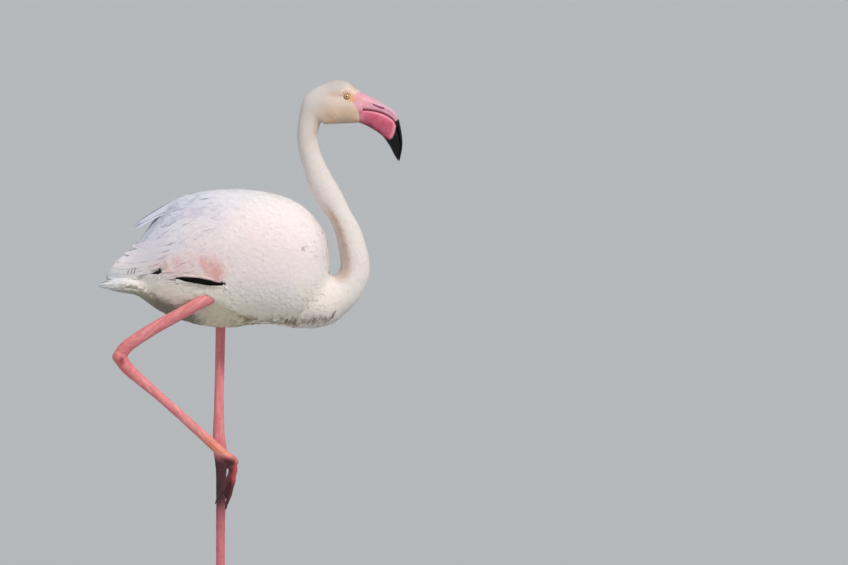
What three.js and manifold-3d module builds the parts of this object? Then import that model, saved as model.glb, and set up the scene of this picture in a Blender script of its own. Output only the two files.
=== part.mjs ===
// A life-size greater flamingo, an adult female, wading: she stands on her left leg while the right
// foot is drawn up out of the water. Millimetres. +X is the way she faces, +Y her left side, +Z up.
// The origin is on the floor under the toe joint of the standing leg.
import * as THREE from "three";
import { mergeVertices } from "three/addons/utils/BufferGeometryUtils.js";
import Module from "manifold-3d";

const wasm = await Module();
wasm.setup();

// ---- driving dimensions -------------------------------------------------------------------------

const GAP = 0.3; // between pieces that touch
const FACET_TOLERANCE = 0.12; // how far merged facets may stray
const FAR = 600; // past every edge of the bird, for cutting blocks

const WING_THICKNESS = 12; // plumage that the folded wing adds over the flank
const WING_CORE_REAR = -118; // here the two wings close over the rump
const WING_CORE_FULL = -40; // from here forward the whole flank lies between them

const EYE = { x: 222, z: 908.5, centre: 17.8, radius: 7 };
const HEAD_FRONT = 250;
const BREAST_PLANE = 193; // the neck is a piece of its own forward of this

const ANKLE = { standing: [0, 16.5, 282], raised: [-174.5, -50, 455] };
const ANKLE_RADIUS = { standing: 11.8, raised: 12.6 };
const TOE_JOINT = { standing: [0, 0, 9], raised: [23.5, -38, 270.5] };
const KNUCKLE_RADIUS = 9.6;
const TOE_LENGTH = { inner: 66, middle: 78, outer: 69, hind: 17 };
const TOE_SPREAD = { inner: -36, middle: 1, outer: 37, hind: 172 }; // degrees from straight ahead
const CLAW_LENGTH = 8;
const WEB_THICKNESS = 1.6;
const WEB_REACH = 0.88; // of the toes it joins
const WEB_HOLLOW = 0.88;
// Tips of the toes of the raised right foot. It hangs with the middle toe in front and the side
// toes behind it, half folded together.
const HANGING_TIPS = {
  inner: [-5, -22, 202],
  middle: [11, -39, 193.5],
  outer: [-5, -54, 204],
  hind: [9, -38, 257.5],
};

// Trunk with its folded wings: x, top, height of the widest point, bottom, half width.
const BODY_STATIONS = [
  [-199, 597, 592, 588, 5],
  [-180, 621, 600, 585, 17],
  [-150, 643, 610, 568, 34],
  [-118, 688, 624, 544, 50],
  [-85, 724, 632, 525, 66],
  [-40, 739.5, 636, 509.5, 82],
  [10, 745, 638, 504, 93],
  [65, 743, 638, 509.5, 98],
  [115, 731, 634, 510, 93],
  [150, 711, 630, 513, 79],
  [174, 684, 628, 530, 59],
  [187, 660, 627, 560, 36],
  [192, 634, 626, 610, 10],
];

// Tail and the coverts under it: x, top, height of the widest point, bottom, half width.
const TAIL_STATIONS = [
  [-92, 606, 577, 526.5, 40],
  [-112, 604, 577, 536.5, 40],
  [-132, 602, 577, 550.5, 38],
  [-147, 600, 577, 560, 37],
  [-175, 594, 577, 565, 34],
  [-200, 584, 577, 571, 26],
  [-213.5, 579, 577, 575, 12],
];

// Neck from the breast to the nape: x, z, radius fore and aft, radius sideways.
const NECK_STATIONS = [
  [104, 570, 62, 62],
  [140, 558, 56, 58],
  [172, 553, 49.5, 50],
  [195, 558.5, 42.8, 41],
  [217, 569, 31.9, 32],
  [233.3, 592.5, 26.8, 27],
  [236.5, 614, 25.5, 25],
  [231.5, 643.5, 24.1, 24],
  [223.3, 672.5, 22.2, 22.6],
  [210.3, 699, 20, 21],
  [193.2, 729, 22.6, 20.6],
  [178, 754.5, 22.9, 19.6],
  [163.5, 790.5, 19.3, 17.8],
  [154.7, 821, 18.1, 16.8],
  [153.6, 846, 18.1, 16.6],
];

// Head from the nape to the bill: the same four sizes.
const HEAD_STATIONS = [
  [159, 870, 20.9, 18],
  [169, 883.5, 31, 21.5],
  [186.5, 894.3, 34.3, 25],
  [208, 896.2, 40, 26.5],
  [227.5, 891, 32.8, 24],
  [240.8, 887.8, 28.9, 19.5],
  [HEAD_FRONT, 886.7, 23.5, 16.5],
];

// Bill in side view, base to tip, seven stations each: top edge, mouth line and lower edge.
const CULMEN = [
  [236, 918], [262, 907], [286, 895], [306, 881.5], [314.5, 862], [319.5, 825], [314, 792.5],
];
const MOUTH_LINE = [
  [236, 882], [254, 884.5], [276, 881.5], [295, 873.8], [308, 860], [315.5, 825], [312, 795],
];
const GONYS = [
  [240, 863], [253, 858], [268, 850], [284, 838.5], [296.5, 821.5], [305, 805.5], [312, 794],
];
const UPPER_HALF_WIDTH = [16.5, 15, 13.5, 12, 10, 6.5, 2];
const LOWER_HALF_WIDTH = [15.5, 15.5, 16, 15.5, 12.5, 7.5, 2];

// Shanks and tarsi: centre x, y, z, radius fore and aft, radius sideways.
const STANDING_SHANK = [
  [0, 34, 548, 9.5, 8.5],
  [0, 30.3, 500, 8.6, 7.8],
  [-1.6, 25, 420, 8.4, 7.6],
  [-2.8, 21.5, 362, 8.6, 7.7],
  [-3.2, 18.7, 316, 10.4, 9],
  [-1.6, 17.2, 292, 12, 10.4],
  [...ANKLE.standing, 12.2, 10.6],
];
const STANDING_TARSUS = [
  [...ANKLE.standing, 12.2, 10.6],
  [1.2, 15.5, 262, 10.8, 9.3],
  [1.2, 13.7, 236, 9, 7.4],
  [0, 8, 140, 7.8, 6.3],
  [0, 2.2, 44, 8, 7],
  [0, 0.8, 22, 9.2, 8.4],
  [...TOE_JOINT.standing, 9.8, 9.4],
];
const RAISED_SHANK = [
  [-4, -60, 566, 10.5, 9.5],
  [-21, -66, 557, 10.8, 9.6],
  [-42, -67, 546, 10.8, 9.2],
  [-62, -64, 534.5, 10.8, 8.8],
  [-118, -56, 503, 11, 8.6],
  [-160, -51, 474.5, 11.4, 9.6],
  [...ANKLE.raised, 12, 10.4],
];
const RAISED_TARSUS = [
  [...ANKLE.raised, 12, 10.6],
  [-160, -49.6, 434.5, 11, 9],
  [-137, -48.6, 413.5, 9.4, 7.4],
  [-98, -46.2, 379.5, 8, 6.3],
  [-29.5, -41.8, 317, 8.4, 7],
  [4, -39.4, 285.5, 9.2, 8.4],
  [...TOE_JOINT.raised, 9.8, 9.4],
];

// ---- shapes from stations -----------------------------------------------------------------------

const mix = (a, b, share) => a + (b - a) * share;

function smoothstep(low, high, value) {
  const share = THREE.MathUtils.clamp((value - low) / (high - low), 0, 1);
  return share * share * (3 - 2 * share);
}

// Rows of numbers as one smooth function of a share from 0 to 1, by Catmull-Rom on each column.
function smoothRows(rows) {
  const last = rows.length - 1;
  const at = (i) => rows[THREE.MathUtils.clamp(i, 0, last)];
  return (share) => {
    const i = Math.min(Math.floor(share * last), last - 1);
    const t = share * last - i;
    return rows[i].map((_, column) => {
      const [a, b, c, d] = [at(i - 1), at(i), at(i + 1), at(i + 2)].map((row) => row[column]);
      return 0.5 * (2 * b + (c - a) * t + (2 * a - 5 * b + 4 * c - d) * t * t
        + (3 * b - a - 3 * c + d) * t * t * t);
    });
  };
}

// Evenly spaced shares of the range low to high, ends included.
const shares = (count, low = 0, high = 1) =>
  Array.from({ length: count }, (_, i) => mix(low, high, i / (count - 1)));

// One closed ring of points: radius a along across, b above and c below along up.
// A power of 2 gives ellipses, and more gives squarer shoulders.
function ring(centre, across, up, a, b, c, count, power = 2) {
  return Array.from({ length: count }, (_, i) => {
    const angle = (2 * Math.PI * i) / count;
    const [x, y] = [Math.cos(angle), Math.sin(angle)];
    const bend = (v) => Math.sign(v) * Math.abs(v) ** (2 / power);
    return centre.clone()
      .addScaledVector(across, a * bend(x))
      .addScaledVector(up, (y > 0 ? b : c) * bend(y));
  });
}

// A closed surface through rings of equal count, with a fan over each end.
function loft(rings) {
  const count = rings[0].length;
  const middle = (points) =>
    points.reduce((sum, p) => sum.add(p), new THREE.Vector3()).divideScalar(points.length);
  const points = [...rings.flat(), middle(rings[0]), middle(rings.at(-1))];
  const [firstCap, lastCap] = [points.length - 2, points.length - 1];
  const faces = [];
  for (let i = 0; i < count; i += 1) {
    const j = (i + 1) % count;
    faces.push(firstCap, j, i);
    for (let r = 0; r + 1 < rings.length; r += 1) {
      const [near, far] = [r * count, (r + 1) * count];
      faces.push(near + i, near + j, far + j, near + i, far + j, far + i);
    }
    const end = (rings.length - 1) * count;
    faces.push(lastCap, end + i, end + j);
  }
  const geometry = new THREE.BufferGeometry().setFromPoints(points);
  return geometry.setIndex(faces);
}

const solidOf = (geometry) => {
  const bare = geometry.clone();
  bare.deleteAttribute("normal");
  bare.deleteAttribute("uv");
  const merged = mergeVertices(bare, 1e-4);
  const made = new wasm.Manifold(new wasm.Mesh({
    numProp: 3,
    vertProperties: new Float32Array(merged.attributes.position.array),
    triVerts: new Uint32Array(merged.index.array),
  }));
  if (made.volume() > 0) return made;
  const flipped = merged.index.array.slice().reverse();
  return new wasm.Manifold(new wasm.Mesh({
    numProp: 3,
    vertProperties: new Float32Array(merged.attributes.position.array),
    triVerts: new Uint32Array(flipped),
  }));
};

// Upright sections at stations of x, top, widest height, bottom and half width.
function hull(stations, sections, count, power, grow = 0) {
  const row = smoothRows(stations);
  const across = new THREE.Vector3(0, 1, 0);
  const up = new THREE.Vector3(0, 0, 1);
  const outward = grow * Math.sign(stations.at(-1)[0] - stations[0][0]);
  return solidOf(loft(shares(sections).map((share) => {
    const [x, top, widest, bottom, half] = row(share);
    const stretch = { 0: -outward, 1: outward }[share] ?? 0;
    const centre = new THREE.Vector3(x + stretch, 0, widest);
    const sizes = [half, top - widest, widest - bottom].map((size) => Math.max(size + grow, 0.4));
    return ring(centre, across, up, ...sizes, count, power);
  })));
}

// Sections square to a line in space at stations of x, y, z, radius in the upright plane and
// radius sideways. span picks a part of the line.
function limb(stations, sections, count, { span = [0, 1], grow = 0 } = {}) {
  const row = smoothRows(stations);
  const point = (share) => new THREE.Vector3(...row(THREE.MathUtils.clamp(share, 0, 1)));
  const step = 1e-3;
  return solidOf(loft(shares(sections, ...span).map((share) => {
    const along = point(share + step).sub(point(share - step)).normalize();
    const across = new THREE.Vector3(0, 1, 0).addScaledVector(along, -along.y).normalize();
    const up = new THREE.Vector3().crossVectors(along, across);
    const [inPlane, sideways] = row(share).slice(3).map((size) => size + grow);
    return ring(point(share), across, up, sideways, inPlane, inPlane, count);
  })));
}

const inMiddlePlane = (stations) => stations.map(([x, z, ...sizes]) => [x, 0, z, ...sizes]);

// A flat outline given in x and z, made into a block across the bird between two values of y.
function blockAcross(outline, yLow, yHigh) {
  const geometry = new THREE.ExtrudeGeometry(outline, {
    depth: yHigh - yLow, bevelEnabled: false, curveSegments: 3,
  });
  return solidOf(geometry.rotateX(Math.PI / 2).translate(0, yHigh, 0));
}

// A flat outline given in x and y, made into an upright block between two heights.
function blockUpright(outline, zLow, zHigh) {
  const geometry = new THREE.ExtrudeGeometry(outline, {
    depth: zHigh - zLow, bevelEnabled: false, curveSegments: 3,
  });
  return solidOf(geometry.translate(0, 0, zLow));
}

const ball = (centre, radius, detail) =>
  solidOf(new THREE.SphereGeometry(radius, detail, Math.round(detail / 2)).translate(...centre));

const block = (low, high) => {
  const size = high.map((value, i) => value - low[i]);
  const middle = high.map((value, i) => (value + low[i]) / 2);
  return solidOf(new THREE.BoxGeometry(...size).translate(...middle));
};

const behind = (x) => block([-FAR, -FAR, 0], [x, FAR, FAR * 1.5]);

const FRONT_TOES = ["inner", "middle", "outer"];
const belowFloor = block([-FAR, -FAR, -FAR], [FAR, FAR, 0]);

const joined = (solids) => solids.reduce((sum, solid) => sum.add(solid));

function geometryOf(solid) {
  const mesh = solid.getMesh();
  const geometry = new THREE.BufferGeometry();
  geometry.setAttribute("position", new THREE.BufferAttribute(mesh.vertProperties, 3));
  return geometry.setIndex(new THREE.BufferAttribute(mesh.triVerts, 1));
}

// The same solid on the bird's other side.
function mirrored(solid) {
  const geometry = geometryOf(solid).scale(1, -1, 1);
  const faces = geometry.index.array.slice();
  for (let i = 0; i < faces.length; i += 3) [faces[i], faces[i + 1]] = [faces[i + 1], faces[i]];
  return solidOf(geometry.setIndex(new THREE.BufferAttribute(faces, 1)));
}

// ---- trunk, wings and tail ----------------------------------------------------------------------

const BODY_POWER = 2.15;
const body = (grow = 0) => hull(BODY_STATIONS, 23, 22, BODY_POWER, grow);

// What the folded wings lie on: the body less the wings' thickness, closing over the rump.
function core(grow) {
  const stations = BODY_STATIONS.filter(([x]) => x >= WING_CORE_REAR)
    .map(([x, top, widest, bottom, half]) => {
      const share = smoothstep(WING_CORE_REAR, WING_CORE_FULL, x);
      return [
        Math.min(x, BODY_STATIONS.at(-1)[0] - WING_THICKNESS * 0.6),
        mix(widest, top - WING_THICKNESS * 0.9, share),
        widest,
        bottom - 2,
        mix(3, half - WING_THICKNESS, share),
      ];
    });
  return hull(stations, 15, 18, BODY_POWER, grow);
}

// The wing's lower edge from the bend at the shoulder back to its tip, and all above it.
function wingFromTheSide(grow) {
  const edge = [
    [183, 640], [172, 606], [138, 588], [90, 575], [35, 570], [4, 570.5], [-35, 577],
    [-79, 590], [-108, 597], [-157, 594.5], [-200, 589],
  ].map(([x, z]) => new THREE.Vector2(x + grow * (x > 160 ? 1 : 0), z - grow));
  const outline = new THREE.Shape([new THREE.Vector2(183 + grow, FAR * 1.4), edge[0]]);
  outline.splineThru(edge.slice(1));
  outline.lineTo(-FAR, edge.at(-1).y);
  outline.lineTo(-FAR, FAR * 1.4);
  return blockAcross(outline, -FAR, 0);
}

// In plan the wing leaves the mantle bare, a strip that narrows to nothing over the rump.
function wingInPlan(grow) {
  const strip = [[210, 33], [150, 31], [100, 27], [50, 21], [0, 13], [-40, 5], [-70, 0.5]]
    .map(([x, y]) => new THREE.Vector2(x, -y + grow));
  const outline = new THREE.Shape([new THREE.Vector2(210, -FAR), strip[0]]);
  outline.splineThru(strip.slice(1));
  outline.lineTo(-FAR, grow - GAP / 2);
  outline.lineTo(-FAR, -FAR);
  return blockUpright(outline, 0, FAR * 1.4);
}

// A long scapular plume that stands clear of the back behind the wing.
const PLUME_STATIONS = [
  [-62, -13, 724, 7, 3],
  [-92, -14, 714, 6.5, 3],
  [-124, -14.5, 695.5, 5, 2.4],
  [-146, -14, 682, 2.8, 1.6],
  [-156, -13.5, 675.5, 0.8, 0.7],
];

const wingPocket = (grow) => wingFromTheSide(grow).intersect(wingInPlan(grow)).subtract(core(-grow));

const rightWing = body()
  .intersect(wingPocket(0))
  .subtract(block([-FAR, -GAP / 2, 0], [FAR, FAR, FAR * 1.5]));
const rightPlume = limb(PLUME_STATIONS, 12, 8).subtract(body(GAP));

const tailWithRoom = hull(TAIL_STATIONS, 10, 16, 2.2, GAP);
const tail = hull(TAIL_STATIONS, 10, 16, 2.2)
  .subtract(wingPocket(GAP).add(mirrored(wingPocket(GAP))));

const TRUNK_REAR = -112;

// ---- neck and head ------------------------------------------------------------------------------

// The neck and the head are one line, cut into pieces at numbered stations.
const SPINE = inMiddlePlane([...NECK_STATIONS, ...HEAD_STATIONS]);
const NAPE = NECK_STATIONS.length - 1;
const SPINE_END = SPINE.length - 1;
const NECK_CUTS = { low: 6, high: 10 };
const HALF_CUT = 0.006; // of a station, on each side of a cut

function alongSpine(from, to, sections, grow = 0) {
  const low = from === 0 ? 0 : from + HALF_CUT;
  const high = to === SPINE_END ? to : to - HALF_CUT;
  return limb(SPINE, sections, 16, { span: [low / SPINE_END, high / SPINE_END], grow });
}

const neckRoot = alongSpine(0, NECK_CUTS.low, 14);
const neckBase = neckRoot.subtract(behind(BREAST_PLANE + GAP));
const neckMiddle = alongSpine(NECK_CUTS.low, NECK_CUTS.high, 10);
const neckTop = alongSpine(NECK_CUTS.high, NAPE, 10);

const trunk = body()
  .add(neckRoot.intersect(behind(BREAST_PLANE)))
  .subtract(wingPocket(GAP))
  .subtract(mirrored(wingPocket(GAP)))
  .subtract(behind(TRUNK_REAR))
  .subtract(tailWithRoom);

const eye = (side, grow = 0) => ball([EYE.x, side * EYE.centre, EYE.z], EYE.radius + grow, 14);
const head = alongSpine(NAPE, SPINE_END, 18)
  .subtract(eye(1, GAP))
  .subtract(eye(-1, GAP));

// ---- bill ---------------------------------------------------------------------------------------

// Sections between two lines of the side view, with squarer shoulders on the mouth side.
function mandible(topLine, bottomLine, halfWidths, { arch, sections = 16, count = 12 }) {
  const rows = smoothRows(topLine.map((top, i) => [...top, ...bottomLine[i], halfWidths[i]]));
  const across = new THREE.Vector3(0, 1, 0);
  return solidOf(loft(shares(sections).map((share) => {
    const [topX, topZ, bottomX, bottomZ, half] = rows(share);
    const top = new THREE.Vector3(topX, 0, topZ);
    const bottom = new THREE.Vector3(bottomX, 0, bottomZ);
    const mouth = arch ? bottom : top;
    const crown = arch ? top : bottom;
    const centre = mouth.clone().lerp(crown, 0.22);
    const up = mouth.clone().sub(crown).normalize();
    const depth = mouth.distanceTo(crown);
    return ring(centre, across, up, half, depth * 0.22, depth * 0.78, count, 2.4);
  })));
}

const shiftedMouth = (by) => MOUTH_LINE.map(([x, z]) => [x + by * 0.4, z + by]);
const headWithRoom = alongSpine(NAPE, SPINE_END, 18, GAP);
const upperBill = mandible(CULMEN, shiftedMouth(GAP), UPPER_HALF_WIDTH, { arch: true })
  .subtract(headWithRoom);
const lowerBill = mandible(shiftedMouth(-GAP), GONYS, LOWER_HALF_WIDTH, { arch: false })
  .subtract(headWithRoom)
  .subtract(mandible(CULMEN, MOUTH_LINE, UPPER_HALF_WIDTH.map((half) => half + GAP), { arch: true }));

// ---- legs and feet ------------------------------------------------------------------------------

// The tarsus carries the ball of the ankle, and the shank ends on it.
const tarsus = (stations, leg, grow = 0) => limb(stations, 12, 10, { grow })
  .add(ball(ANKLE[leg], ANKLE_RADIUS[leg] + grow, 10));
const shank = (stations, lowerLegWithRoom) => limb(stations, 10, 10)
  .subtract(body(GAP))
  .subtract(lowerLegWithRoom);

// A toe of the standing foot: down from the joint, along the floor, and thin at the tip.
function flatToe(name) {
  const angle = THREE.MathUtils.degToRad(TOE_SPREAD[name]);
  const place = (share, height, radius) => [
    Math.cos(angle) * TOE_LENGTH[name] * share,
    Math.sin(angle) * TOE_LENGTH[name] * share,
    height, radius, radius * 1.15,
  ];
  if (name === "hind") return [place(0.3, 12, 3.4), place(0.7, 9, 2.8), place(1, 6, 2.2)];
  return [
    place(0, 8.5, 8), place(0.16, 5.6, 6.6), place(0.42, 4, 4.4), place(0.72, 3.2, 3.9),
    place(1, 2.6, 2.9),
  ];
}

// A toe of the raised foot hangs from the joint to its tip, bowed a little forward.
function hangingToe(name) {
  const joint = new THREE.Vector3(...TOE_JOINT.raised);
  const tip = new THREE.Vector3(...HANGING_TIPS[name]);
  const place = (share, bow, radius) => {
    const p = joint.clone().lerp(tip, share);
    return [p.x + bow, p.y, p.z, radius, radius * 1.1];
  };
  if (name === "hind") return [place(0.3, 0, 3.4), place(0.7, 0, 2.8), place(1, 0, 2.2)];
  return [
    place(0.02, 0, 8), place(0.2, 3.5, 6), place(0.45, 5, 4.4), place(0.75, 3, 3.9),
    place(1, 0, 2.9),
  ];
}

// A claw carries on the line of its toe past the tip.
function clawStations(toe) {
  const [last, before] = [toe.at(-1), toe.at(-2)].map((row) => new THREE.Vector3(...row));
  const ahead = last.clone().sub(before).normalize();
  const radius = toe.at(-1)[3];
  return [[0.01, 0.85], [0.5, 0.62], [1, 0.2]].map(([share, size]) => {
    const p = last.clone().addScaledVector(ahead, share * CLAW_LENGTH + GAP);
    return [p.x, p.y, Math.max(p.z, radius * size * 0.8), radius * size, radius * size * 0.9];
  });
}

// A web is a plate from the joint to near the tips of two toes, with a hollow front edge.
function web(root, tips) {
  const [a, b] = tips.map((tip) => tip.clone().sub(root).multiplyScalar(WEB_REACH));
  const along = a.clone().normalize();
  const normal = new THREE.Vector3().crossVectors(a, b).normalize();
  const across = new THREE.Vector3().crossVectors(normal, along);
  const [start, finish] = [a, b].map((v) => new THREE.Vector2(v.dot(along), v.dot(across)));
  const hollow = start.clone().add(finish).multiplyScalar(0.5 * WEB_HOLLOW);
  const outline = new THREE.Shape([new THREE.Vector2(0, 0), start]);
  outline.quadraticCurveTo(hollow.x, hollow.y, finish.x, finish.y);
  const plate = new THREE.ExtrudeGeometry(outline, {
    depth: WEB_THICKNESS, bevelEnabled: false, curveSegments: 6,
  });
  plate.translate(0, 0, -WEB_THICKNESS / 2);
  plate.applyMatrix4(new THREE.Matrix4().makeBasis(along, across, normal).setPosition(root));
  return solidOf(plate);
}

// A foot in its pieces. webHeight lays the web of the standing foot on the floor.
function foot(leg, toeStations, lowerLegWithRoom, webHeight) {
  const toe = (name, grow = 0) =>
    limb(toeStations(name), name === "hind" ? 3 : 6, 8, { grow });
  const webPoint = ([x, y, z]) => new THREE.Vector3(x, y, webHeight ?? z);
  const tip = (name) => webPoint(toeStations(name).at(-1));
  const root = webPoint(TOE_JOINT[leg]);
  const sole = joined([
    ball(TOE_JOINT[leg], KNUCKLE_RADIUS, 10),
    ...FRONT_TOES.map((name) => toe(name)),
    web(root, [tip("inner"), tip("middle")]),
    web(root, [tip("middle"), tip("outer")]),
  ]);
  const claws = [...FRONT_TOES, "hind"].map((name) => [
    name,
    limb(clawStations(toeStations(name)), 4, 6).subtract(toe(name, GAP)).subtract(belowFloor),
  ]);
  return {
    sole: sole.subtract(belowFloor).subtract(lowerLegWithRoom).subtract(toe("hind", GAP)),
    hind: toe("hind").subtract(lowerLegWithRoom),
    claws,
  };
}

const tarsusLeft = tarsus(STANDING_TARSUS, "standing");
const tarsusRight = tarsus(RAISED_TARSUS, "raised");
const leftRoom = tarsus(STANDING_TARSUS, "standing", GAP);
const rightRoom = tarsus(RAISED_TARSUS, "raised", GAP);
const shankLeft = shank(STANDING_SHANK, leftRoom);
const shankRight = shank(RAISED_SHANK, rightRoom);
const feet = {
  left: foot("standing", flatToe, leftRoom, WEB_THICKNESS / 2 - GAP),
  right: foot("raised", hangingToe, rightRoom),
};

// ---- the bird -----------------------------------------------------------------------------------

const COLOURS = {
  plumage: { color: 0xf1e9e2, roughness: 0.85, metalness: 0 },
  legSkin: { color: 0xd8737a, roughness: 0.5, metalness: 0 },
  billPink: { color: 0xdc7f95, roughness: 0.4, metalness: 0 },
  claw: { color: 0x2b2020, roughness: 0.45, metalness: 0 },
  eye: { color: 0xd9c66a, roughness: 0.1, metalness: 0 },
};
const materials = Object.fromEntries(
  Object.entries(COLOURS).map(([name, look]) => [name, new THREE.MeshStandardMaterial(look)]),
);

// A piece with its flattest facets merged, without the specks that a cut can leave.
function tidied(solid) {
  const bodies = solid.simplify(FACET_TOLERANCE).decompose();
  return bodies.sort((a, b) => b.volume() - a.volume())[0];
}

const bird = new THREE.Group();
const addPiece = (name, solid, material) => {
  const mesh = new THREE.Mesh(geometryOf(tidied(solid)), materials[material]);
  mesh.name = name;
  bird.add(mesh);
};

addPiece("trunk", trunk, "plumage");
addPiece("wing_right", rightWing, "plumage");
addPiece("wing_left", mirrored(rightWing), "plumage");
addPiece("plume_right", rightPlume, "plumage");
addPiece("plume_left", mirrored(rightPlume), "plumage");
addPiece("tail", tail, "plumage");
addPiece("neck_base", neckBase, "plumage");
addPiece("neck_middle", neckMiddle, "plumage");
addPiece("neck_top", neckTop, "plumage");
addPiece("head", head, "plumage");
addPiece("eye_right", eye(-1), "eye");
addPiece("eye_left", eye(1), "eye");
addPiece("bill_upper", upperBill, "billPink");
addPiece("bill_lower", lowerBill, "billPink");
addPiece("shank_left", shankLeft, "legSkin");
addPiece("shank_right", shankRight, "legSkin");
addPiece("tarsus_left", tarsusLeft, "legSkin");
addPiece("tarsus_right", tarsusRight, "legSkin");
for (const [side, { sole, hind, claws }] of Object.entries(feet)) {
  addPiece(`foot_${side}`, sole, "legSkin");
  addPiece(`hind_toe_${side}`, hind, "legSkin");
  for (const [toe, claw] of claws) addPiece(`claw_${side}_${toe}`, claw, "claw");
}

export default bird;
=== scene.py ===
"""Greater flamingo, wading on its left leg: skin, feathers, bill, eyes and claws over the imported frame.

The tables are in millimetres in the row frame (+X ahead, +Y the bird's left, +Z up), as the solids'
are. Everything is turned into metres as it becomes a mesh.
"""

import math

import bmesh
import bpy
import numpy as np
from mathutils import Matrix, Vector
from mathutils.bvhtree import BVHTree


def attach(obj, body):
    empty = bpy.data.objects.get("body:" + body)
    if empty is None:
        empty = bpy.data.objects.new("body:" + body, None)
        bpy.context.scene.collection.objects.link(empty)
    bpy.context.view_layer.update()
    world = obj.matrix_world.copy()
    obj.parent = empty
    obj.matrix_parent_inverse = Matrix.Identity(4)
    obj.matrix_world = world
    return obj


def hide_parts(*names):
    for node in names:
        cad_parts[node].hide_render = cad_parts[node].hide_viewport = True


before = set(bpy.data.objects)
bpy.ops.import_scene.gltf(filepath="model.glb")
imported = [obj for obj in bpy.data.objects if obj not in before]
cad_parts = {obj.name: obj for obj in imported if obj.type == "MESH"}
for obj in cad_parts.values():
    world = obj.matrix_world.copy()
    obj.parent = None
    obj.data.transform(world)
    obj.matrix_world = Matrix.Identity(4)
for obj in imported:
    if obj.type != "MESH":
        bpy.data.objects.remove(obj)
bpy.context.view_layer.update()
MM = 0.001

# ---- sizes ---------------------------------------------------------------------------------------

# Plumage outline of the trunk with folded wings: x, top, height of widest point, bottom, half width.
BODY = np.array([
    [-199, 597, 592, 588, 5],
    [-180, 621, 600, 585, 17],
    [-150, 643, 610, 568, 34],
    [-118, 688, 624, 544, 50],
    [-85, 724, 632, 525, 66],
    [-40, 739.5, 636, 509.5, 82],
    [10, 745, 638, 504, 93],
    [65, 743, 638, 509.5, 98],
    [115, 731, 634, 510, 93],
    [150, 711, 630, 513, 79],
    [174, 684, 628, 530, 59],
    [187, 660, 627, 560, 36],
    [192, 634, 626, 610, 10],
])
TAIL = np.array([
    [-92, 606, 577, 526.5, 40],
    [-112, 604, 577, 536.5, 40],
    [-132, 602, 577, 550.5, 38],
    [-147, 600, 577, 560, 37],
    [-175, 594, 577, 565, 34],
    [-200, 584, 577, 571, 26],
    [-213.5, 579, 577, 575, 12],
])
# Neck from the breast to the nape, then the head to the bill: x, z, radius fore and aft, sideways.
# From the third row on, the first three columns are a scratch program's least-squares fit to places
# read off the photo's outline, not sizes chosen by hand. Only the last row's x wasn't fitted.
NECK = np.array([
    [104, 570, 62, 62],
    [140, 558, 56, 58],
    [172, 553, 49.5, 50],
    [195, 558.5, 42.8, 41],
    [217, 569, 31.9, 32],
    [233.3, 592.5, 26.8, 27],
    [236.5, 614, 25.5, 25],
    [231.5, 643.5, 24.1, 24],
    [223.3, 672.5, 22.2, 22.6],
    [210.3, 699, 20, 21],
    [193.2, 729, 22.6, 20.6],
    [178, 754.5, 22.9, 19.6],
    [163.5, 790.5, 19.3, 17.8],
    [154.7, 821, 18.1, 16.8],
    [153.6, 846, 18.1, 16.6],
    [159, 870, 20.9, 18],
    [169, 883.5, 31, 21.5],
    [186.5, 894.3, 34.3, 25],
    [208, 896.2, 40, 26.5],
    [227.5, 891, 32.8, 24],
    [240.8, 887.8, 28.9, 19.5],
    [250, 886.7, 23.5, 16.5],
])
LAST = len(NECK) - 1

ANKLE = {"left": (0, 16.5, 282), "right": (-174.5, -50, 455)}
ANKLE_RADIUS = {"left": 11.8, "right": 12.6}
KNUCKLE = {"left": (0, 0, 9), "right": (23.5, -38, 270.5)}
KNUCKLE_RADIUS = 9.6
SHANK = {
    "left": [
        [0, 34, 548, 9.5, 8.5], [0, 30.3, 500, 8.6, 7.8], [-1.6, 25, 420, 8.4, 7.6],
        [-2.8, 21.5, 362, 8.6, 7.7], [-3.2, 18.7, 316, 10.4, 9], [-1.6, 17.2, 292, 12, 10.4],
        [*ANKLE["left"], 12.2, 10.6],
    ],
    "right": [
        [-4, -60, 566, 10.5, 9.5], [-21, -66, 557, 10.8, 9.6], [-42, -67, 546, 10.8, 9.2],
        [-62, -64, 534.5, 10.8, 8.8], [-118, -56, 503, 11, 8.6], [-160, -51, 474.5, 11.4, 9.6],
        [*ANKLE["right"], 12, 10.4],
    ],
}
TARSUS = {
    "left": [
        [*ANKLE["left"], 12.2, 10.6], [1.2, 15.5, 262, 10.8, 9.3], [1.2, 13.7, 236, 9, 7.4],
        [0, 8, 140, 7.8, 6.3], [0, 2.2, 44, 8, 7], [0, 0.8, 22, 9.2, 8.4],
        [*KNUCKLE["left"], 9.8, 9.4],
    ],
    "right": [
        [*ANKLE["right"], 12, 10.6], [-160, -49.6, 434.5, 11, 9], [-137, -48.6, 413.5, 9.4, 7.4],
        [-98, -46.2, 379.5, 8, 6.3], [-29.5, -41.8, 317, 8.4, 7], [4, -39.4, 285.5, 9.2, 8.4],
        [*KNUCKLE["right"], 9.8, 9.4],
    ],
}
TOE_LENGTH = {"inner": 66, "middle": 78, "outer": 69, "hind": 17}
TOE_SPREAD = {"inner": -36, "middle": 1, "outer": 37, "hind": 172}
HANGING_TIPS = {
    "inner": (-5, -22, 202), "middle": (11, -39, 193.5), "outer": (-5, -54, 204),
    "hind": (9, -38, 257.5),
}
FRONT_TOES = ("inner", "middle", "outer")
CLAW_LENGTH = 8
WEB_THICKNESS = 2.0

EYE = (222.0, 908.5)
EYE_CENTRE = 17.8
EYE_RADIUS = 7.0

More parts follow.
